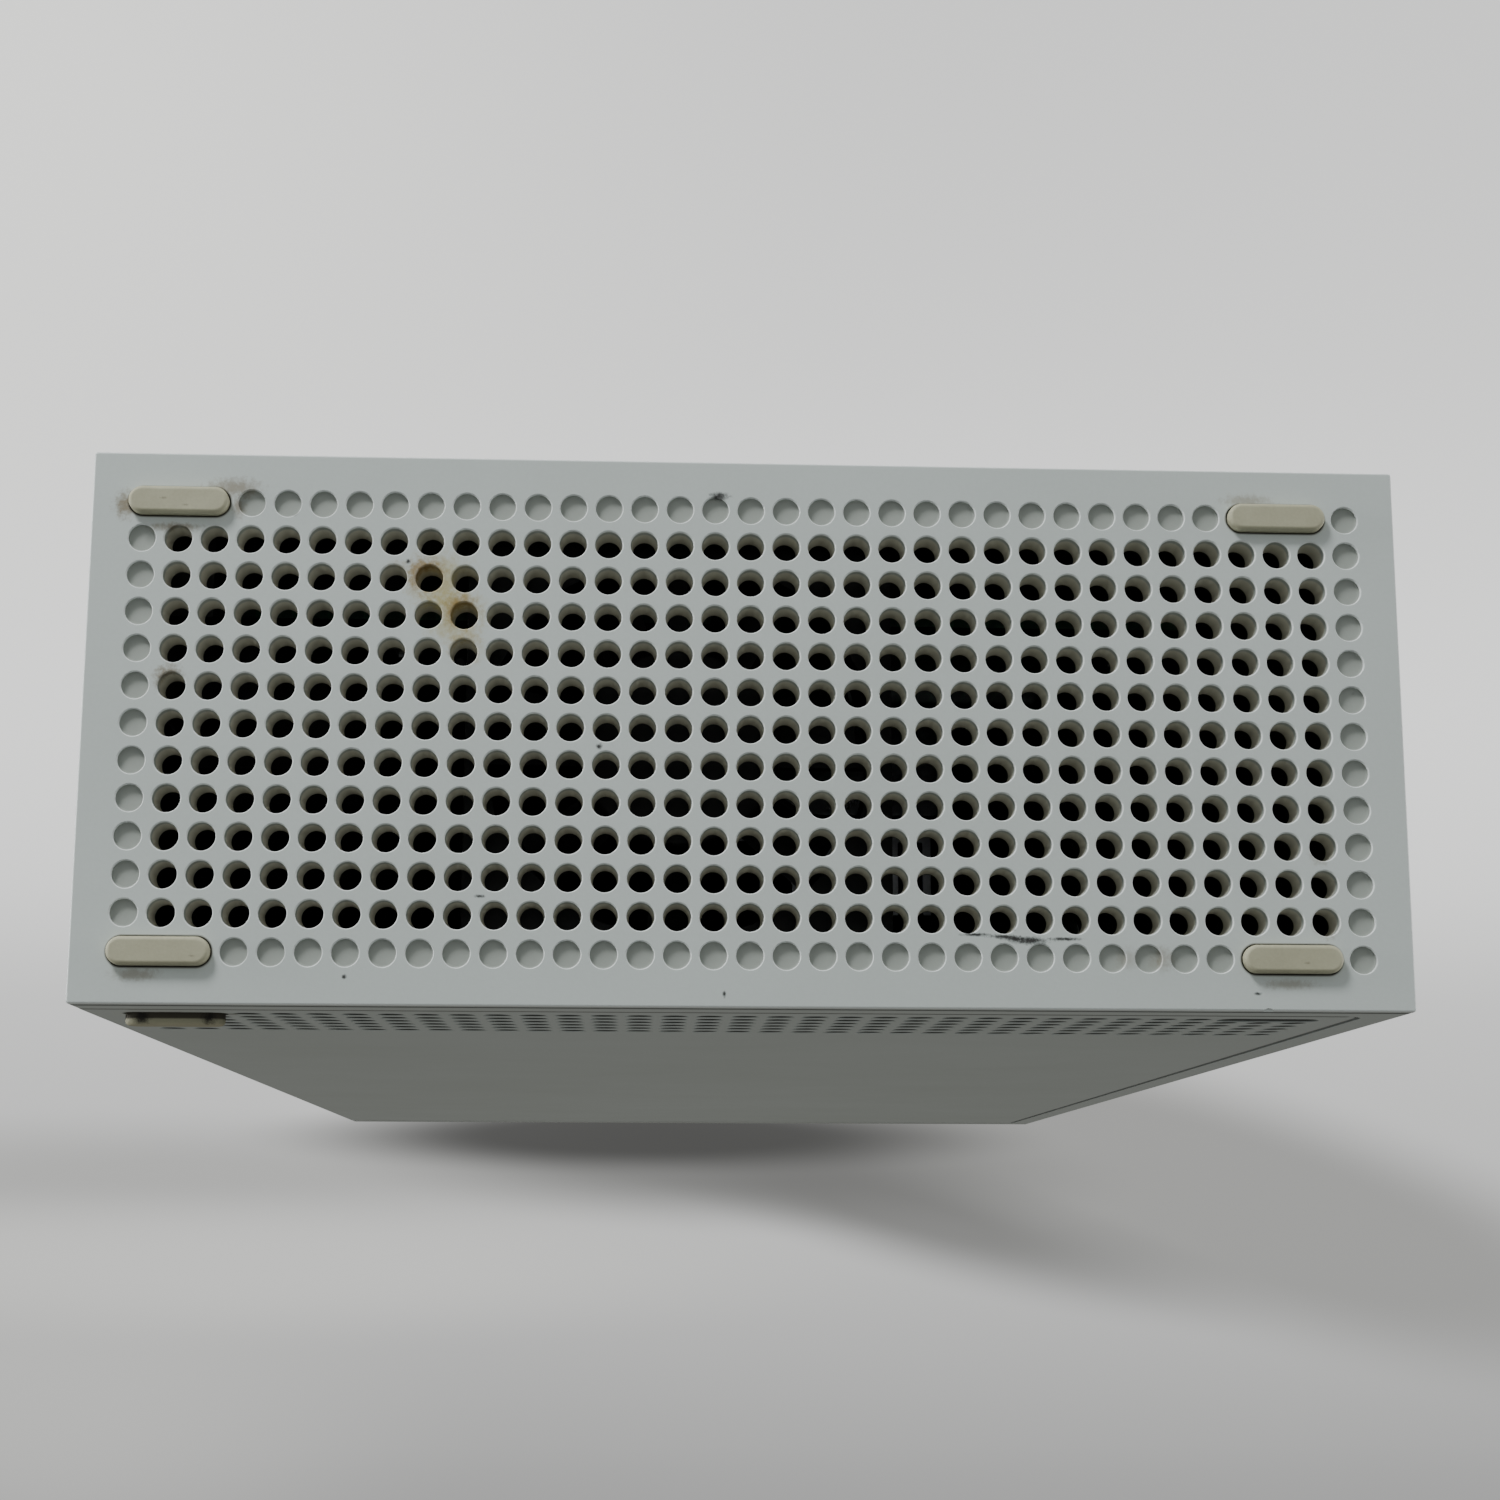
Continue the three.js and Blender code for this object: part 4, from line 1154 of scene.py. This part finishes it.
def blade(shape):
    rows = []
    last = STATIONS - 1
    for i in range(STATIONS):
        share = i / last
        radius = HUB_RADIUS - 0.6 * MM + share * (TIP_RADIUS - HUB_RADIUS + 0.4 * MM)
        lean = math.radians(ROOT_ANGLE - TWIST * share)
        row = []
        for j in range(STATIONS):
            chord = (j / last - 0.5) * CHORD
            camber = CAMBER * (1 - (2 * j / last - 1) ** 2)
            swing = (chord * math.cos(lean) - camber * math.sin(lean)) / radius
            height = chord * math.sin(lean) + camber * math.cos(lean)
            spot = (radius * math.cos(swing), radius * math.sin(swing), height * BLADE_HEIGHT)
            row.append(shape.verts.new(spot))
        rows.append(row)
    for i in range(last):
        for j in range(last):
            shape.faces.new((rows[i][j], rows[i][j + 1], rows[i + 1][j + 1], rows[i + 1][j]))


def blades_tree():
    tree, given = new_tree("blades round a hub", Blades="Int", Finish="Material")
    points = add(tree, "GeometryNodePoints", {"Count": given["Blades"]}).outputs[0]
    step = maths(tree, "DIVIDE", 2 * math.pi, given["Blades"])
    turn = maths(tree, "MULTIPLY", add(tree, "GeometryNodeInputIndex").outputs[0], step)
    about_hub = add(tree, "ShaderNodeCombineXYZ", {2: turn}).outputs[0]
    copies = add(
        tree,
        "GeometryNodeInstanceOnPoints",
        {"Points": points, "Instance": given["Geometry"], "Rotation": about_hub},
    ).outputs[0]
    return give_back(tree, copies, given["Finish"])


rotor = new_piece("fan_blades", blade)
thick = rotor.modifiers.new("thickness", "SOLIDIFY")
thick.thickness = 0.9 * MM
thick.offset = 0
settle(rotor)
run_tree(rotor, blades_tree(), Blades=BLADES, Finish=fan_pbt)
rotor.data.transform(Matrix.Translation(rotor_middle))
hub_outline = ring(rotor_middle.x, rotor_middle.y, HUB_RADIUS, 48)
hub = pushed("hub", hub_outline, "z", rotor_low.z, rotor_high.z)
ease(hub, 0.8 * MM, 4, 50)
combine(hub, [rotor], "UNION")
hub.name = "fan_rotor_moulding"
flat_and_round(hub, 40)
mount(hub, "fan_rotor", "dark_plastic", fan_pbt, "fan_rotor")

# %% [markdown]
# ## The rest of the inside
# What stands behind the vents is only seen through them, but it is what keeps the holes from
# looking painted. Each of these pieces is traced from the frame, its edges are eased by a tenth
# of a millimetre or two, and it gets the finish of its own stuff.

# %% Traced inner pieces
SWITCHES = ("power_switch", "reset_switch", "wps_switch")
AERIALS = tuple(f"antenna_{i}" for i in (1, 2, 3, 4))
SCREWS = tuple(f"board_screw_{i}" for i in (1, 2, 3, 4)) + ("cover_screw_1", "cover_screw_2")
INSIDE = (  # frame nodes, slot, finish, eased edge in mm
    (("main_board", "light_board"), "circuit_board", board_lacquer, 0.1),
    (("processor_shield", "radio_shield"), "sheet_steel", shield_steel, 0.12),
    (("thermal_pad",), "silicone_pad", pad_silicone, 0.2),
    (("heat_sink",), "aluminium", fin_aluminium, 0.15),
    (("fan_frame",), "dark_plastic", fan_pbt, 0.3),
    (("fan_bracket",), "coated_steel", coated_steel, 0.12),
    (("side_dust_filter",), "filter_mesh", filter_nylon, 0.1),
    (SWITCHES, "dark_plastic", switch_nylon, 0.15),
    (AERIALS, "antenna_board", aerial_board, 0.08),
    (SCREWS, "screw_steel", screw_zinc, 0.12),
)
for alike, slot_name, material, radius in INSIDE:
    for node in alike:
        piece = traced(node + "_eased", node)
        ease(piece, radius * MM, 2, 40)
        flat_and_round(piece)
        mount(piece, "case", slot_name, material, node)

# %% [markdown]
# ## Leads
# The leads keep their frame shape, a round tube along a smooth path. They only need the finish of
# soft black sheathing.

# %% Leads
for node in [name for name in nodes if "lead" in name]:
    nodes[node].data.materials.clear()
    nodes[node].data.materials.append(lead_pvc)
    print("sheathed", node)

# %% [markdown]
# ## Floor
# The router stands on a plain pale floor. The floor shows only from above, because the main view
# looks up at the foot end from below, and it does not hold back the light that comes from there.
# It gives off a little light of its own, so that it stays pale far from the lamps.

# %% Floor
FLOOR_CORNERS = ((-4, -4, 0), (4, -4, 0), (4, 4, 0), (-4, 4, 0))
FLOOR_GLOW = 0.42
floor = new_piece(
    "floor", lambda shape: shape.faces.new([shape.verts.new(p) for p in FLOOR_CORNERS])
)
if floor.data.polygons[0].normal.z < 0:
    floor.data.flip_normals()
floor.data.transform(Matrix.Translation((0, 0, -0.0002)))
floor_paint = bpy.data.materials.new("pale_floor")
floor_paint.use_nodes = True
floor_tree = floor_paint.node_tree
floor_tree.nodes.clear()
floor_spot = add(floor_tree, "ShaderNodeTexCoord").outputs["Object"]
floor_drift = add(
    floor_tree, "ShaderNodeTexNoise", {"Vector": floor_spot, "Scale": 3.0, "Detail": 2.0}
).outputs["Fac"]
floor_tint = blended(floor_tree, floor_drift, linear("#d6d8d6"), linear("#cfd2cf"))
floor_lit = add(floor_tree, "ShaderNodeBsdfDiffuse", {"Color": floor_tint}).outputs[0]
floor_glow = add(
    floor_tree, "ShaderNodeEmission", {"Color": floor_tint, "Strength": FLOOR_GLOW}
).outputs[0]
floor_matt = add(floor_tree, "ShaderNodeAddShader", {0: floor_lit, 1: floor_glow}).outputs[0]
floor_clear = add(floor_tree, "ShaderNodeBsdfTransparent").outputs[0]
from_under = add(floor_tree, "ShaderNodeNewGeometry").outputs["Backfacing"]
floor_mix = add(floor_tree, "ShaderNodeMixShader", {0: from_under, 1: floor_matt, 2: floor_clear})
add(floor_tree, "ShaderNodeOutputMaterial", {"Surface": floor_mix.outputs[0]})
floor.data.materials.append(floor_paint)
floor.visible_shadow = False
floor.visible_diffuse = False
floor.visible_glossy = False
floor.visible_transmission = False

# %% [markdown]
# ## Backdrop and soft light
# The world does two jobs. What the camera sees is a pale sheet with painted light and shade: it
# darkens gently towards the side in shade, has a painted bright patch and carries a painted copy
# of the router's soft shadow. What lights the pieces is a separate soft dome, bright below and
# towards the plain side, and dim towards the side cover.

# %% World
world = bpy.data.worlds.new("soft room")
bpy.context.scene.world = world
world.use_nodes = True
room = world.node_tree
room.nodes.clear()
look_x, look_y, look_z = apart(room, add(room, "ShaderNodeTexCoord").outputs["Generated"])
steep = maths(room, "MAXIMUM", look_z, 0.3)
across = maths(room, "DIVIDE", look_x, steep)
along = maths(room, "DIVIDE", look_y, steep)


def soft_oval(centre, size, soft, slope):
    """1 in the middle of a soft oval, 0 outside. A slope turns its long axis."""
    down = maths(room, "SUBTRACT", across, centre[0])
    side = maths(room, "SUBTRACT", along, centre[1])
    level = maths(room, "SUBTRACT", down, maths(room, "MULTIPLY", side, slope))
    du = maths(room, "DIVIDE", level, size[0])
    dv = maths(room, "DIVIDE", side, size[1])
    far = vector_maths(
        room, "LENGTH", add(room, "ShaderNodeCombineXYZ", {0: du, 1: dv}).outputs[0]
    )
    return ranged(room, far, 1.0 - soft, 1.0 + soft, 1.0, 0.0)


SHEET = (  # how far down the sheet, and how bright it is there
    (0.0, 0.66),
    (0.30, 0.72),
    (0.50, 0.90),
    (0.63, 0.80),
    (0.70, 0.54),
    (0.84, 0.48),
    (0.95, 0.31),
    (1.0, 0.28),
)
run = ranged(room, across, -0.6, 0.12, kind="LINEAR")
ramp = add(room, "ShaderNodeValToRGB", {0: run})
bar = ramp.color_ramp
bar.interpolation = "B_SPLINE"
bar.elements[0].position, bar.elements[1].position = SHEET[0][0], SHEET[-1][0]
for place_on_bar, _ in SHEET[1:-1]:
    bar.elements.new(place_on_bar)
for element, (_, brightness) in zip(bar.elements, SHEET):
    element.color = (brightness, brightness * 1.004, brightness * 0.995, 1)
sheet = ramp.outputs[0]
# Painted light and shade on the backdrop: first a bright patch, then the router's painted shadow.
BACKDROP_LIGHT_AND_SHADOW = (  # soft ovals: centre, size, softness, slope, brightness, share
    ((-0.50, 0.34), (0.20, 0.26), 0.9, 0.0, 0.93, 0.8),
    ((0.066, 0.235), (0.050, 0.10), 0.9, 0.0, 0.46, 0.7),
    ((-0.0246, 0.18), (0.017, 0.19), 0.8, 0.0, 0.32, 0.75),
    ((0.0122, 0.165), (0.020, 0.17), 0.8, 0.0, 0.53, 0.9),
    ((-0.0185, -0.235), (0.0435, 0.19), 0.4, -0.29, 0.245, 0.9),
    ((-0.0110, -0.11), (0.017, 0.10), 0.7, -0.27, 0.145, 0.9),
    ((-0.031, -0.03), (0.020, 0.115), 0.6, -0.05, 0.125, 0.85),
    ((-0.041, -0.004), (0.0115, 0.12), 0.5, 0.0, 0.058, 0.95),
)
for centre, size, soft, slope, brightness, share in BACKDROP_LIGHT_AND_SHADOW:
    amount = maths(room, "MULTIPLY", soft_oval(centre, size, soft, slope), share)
    sheet = blended(room, amount, sheet, (brightness, brightness, brightness * 0.97, 1))
seen = blended(room, ranged(room, look_z, 0.45, 0.75), (0.50, 0.505, 0.50, 1), sheet)
backdrop = add(room, "ShaderNodeBackground", {"Color": seen, "Strength": 1.5}).outputs[0]

from_below = ranged(room, look_z, 0.3, -1.0, 0.2, 0.5, kind="LINEAR")
from_cover = ranged(room, look_x, -0.2, 0.9, 1.0, 0.3, kind="LINEAR")
dome_power = maths(room, "MULTIPLY", from_below, from_cover)
dome = add(
    room, "ShaderNodeBackground", {"Color": linear("#f4f8f8"), "Strength": dome_power}
).outputs[0]
camera_ray = add(room, "ShaderNodeLightPath").outputs["Is Camera Ray"]
both = add(room, "ShaderNodeMixShader", {0: camera_ray, 1: dome, 2: backdrop}).outputs[0]
add(room, "ShaderNodeOutputWorld", {"Surface": both})
print("soft patches on the backdrop:", len(BACKDROP_LIGHT_AND_SHADOW))

# %% [markdown]
# ## Lamps
# The key lamp stands below, towards the plain side, and brings out the rims of the holes. Wide
# soft ones light the top, the rear and the side cover, and a low one at each end catches the
# case's long edges.

# %% Lamps


def soft_lamp(name, place, target, size, power, colour):
    data = bpy.data.lights.new(name, "AREA")
    data.shape = "DISK"
    data.size = size
    data.energy = power
    data.color = linear(colour)[:3]
    lamp = bpy.data.objects.new(name, data)
    scene_collection.objects.link(lamp)
    lamp.location = place
    lamp.rotation_euler = (Vector(target) - Vector(place)).to_track_quat("-Z", "Y").to_euler()
    return lamp


soft_lamp("key_below", (-0.9, 0.5, -0.5), (0, 0, 0.02), 0.3, 10, "#fbfdff")
soft_lamp("overhead", (-0.75, -0.4, 1.3), (0, 0, 0.15), 0.9, 14, "#fffdf8")
soft_lamp("rear_fill", (-0.4, 1.2, 0.5), (0, 0, 0.15), 0.9, 5, "#ffffff")
soft_lamp("cover_fill", (1.3, 0.15, 0.45), (0, 0, 0.14), 1.0, 2.2, "#fff4e6")
soft_lamp("rear_rim", (-0.15, 1.3, -0.02), (0, 0, 0.05), 0.35, 9, "#ffffff")
soft_lamp("front_rim", (-0.15, -1.3, -0.02), (0, 0, 0.05), 0.35, 7, "#ffffff")

# %% [markdown]
# ## Camera
# The view looks up at the foot end, a little from the side cover, from close by. It is near
# enough that the long sides run together strongly, so the place and the lens both matter.

# %% Camera
camera_data = bpy.data.cameras.new("view")
camera_data.sensor_width = 36
camera_data.lens = 57.36
camera_data.shift_x = -0.0011
camera_data.shift_y = 0.0293
camera_data.clip_start = 0.01
camera_data.clip_end = 50
camera = bpy.data.objects.new("view", camera_data)
scene_collection.objects.link(camera)
forward = Vector((-0.1822, -0.0465, 0.9822)).normalized()
upward_axis = Vector((-0.9833, 0.0106, -0.1819)).normalized()
right_axis = forward.cross(upward_axis).normalized()
upward_axis = right_axis.cross(forward)
turned = Matrix((right_axis, upward_axis, -forward)).transposed()
camera.matrix_world = Matrix.Translation((0.05615, 0.01245, -0.26501)) @ turned.to_4x4()
bpy.context.scene.camera = camera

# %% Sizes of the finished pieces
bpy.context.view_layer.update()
print("pieces:", len(finished), "triangles:", sum(triangles(piece) for piece in finished))
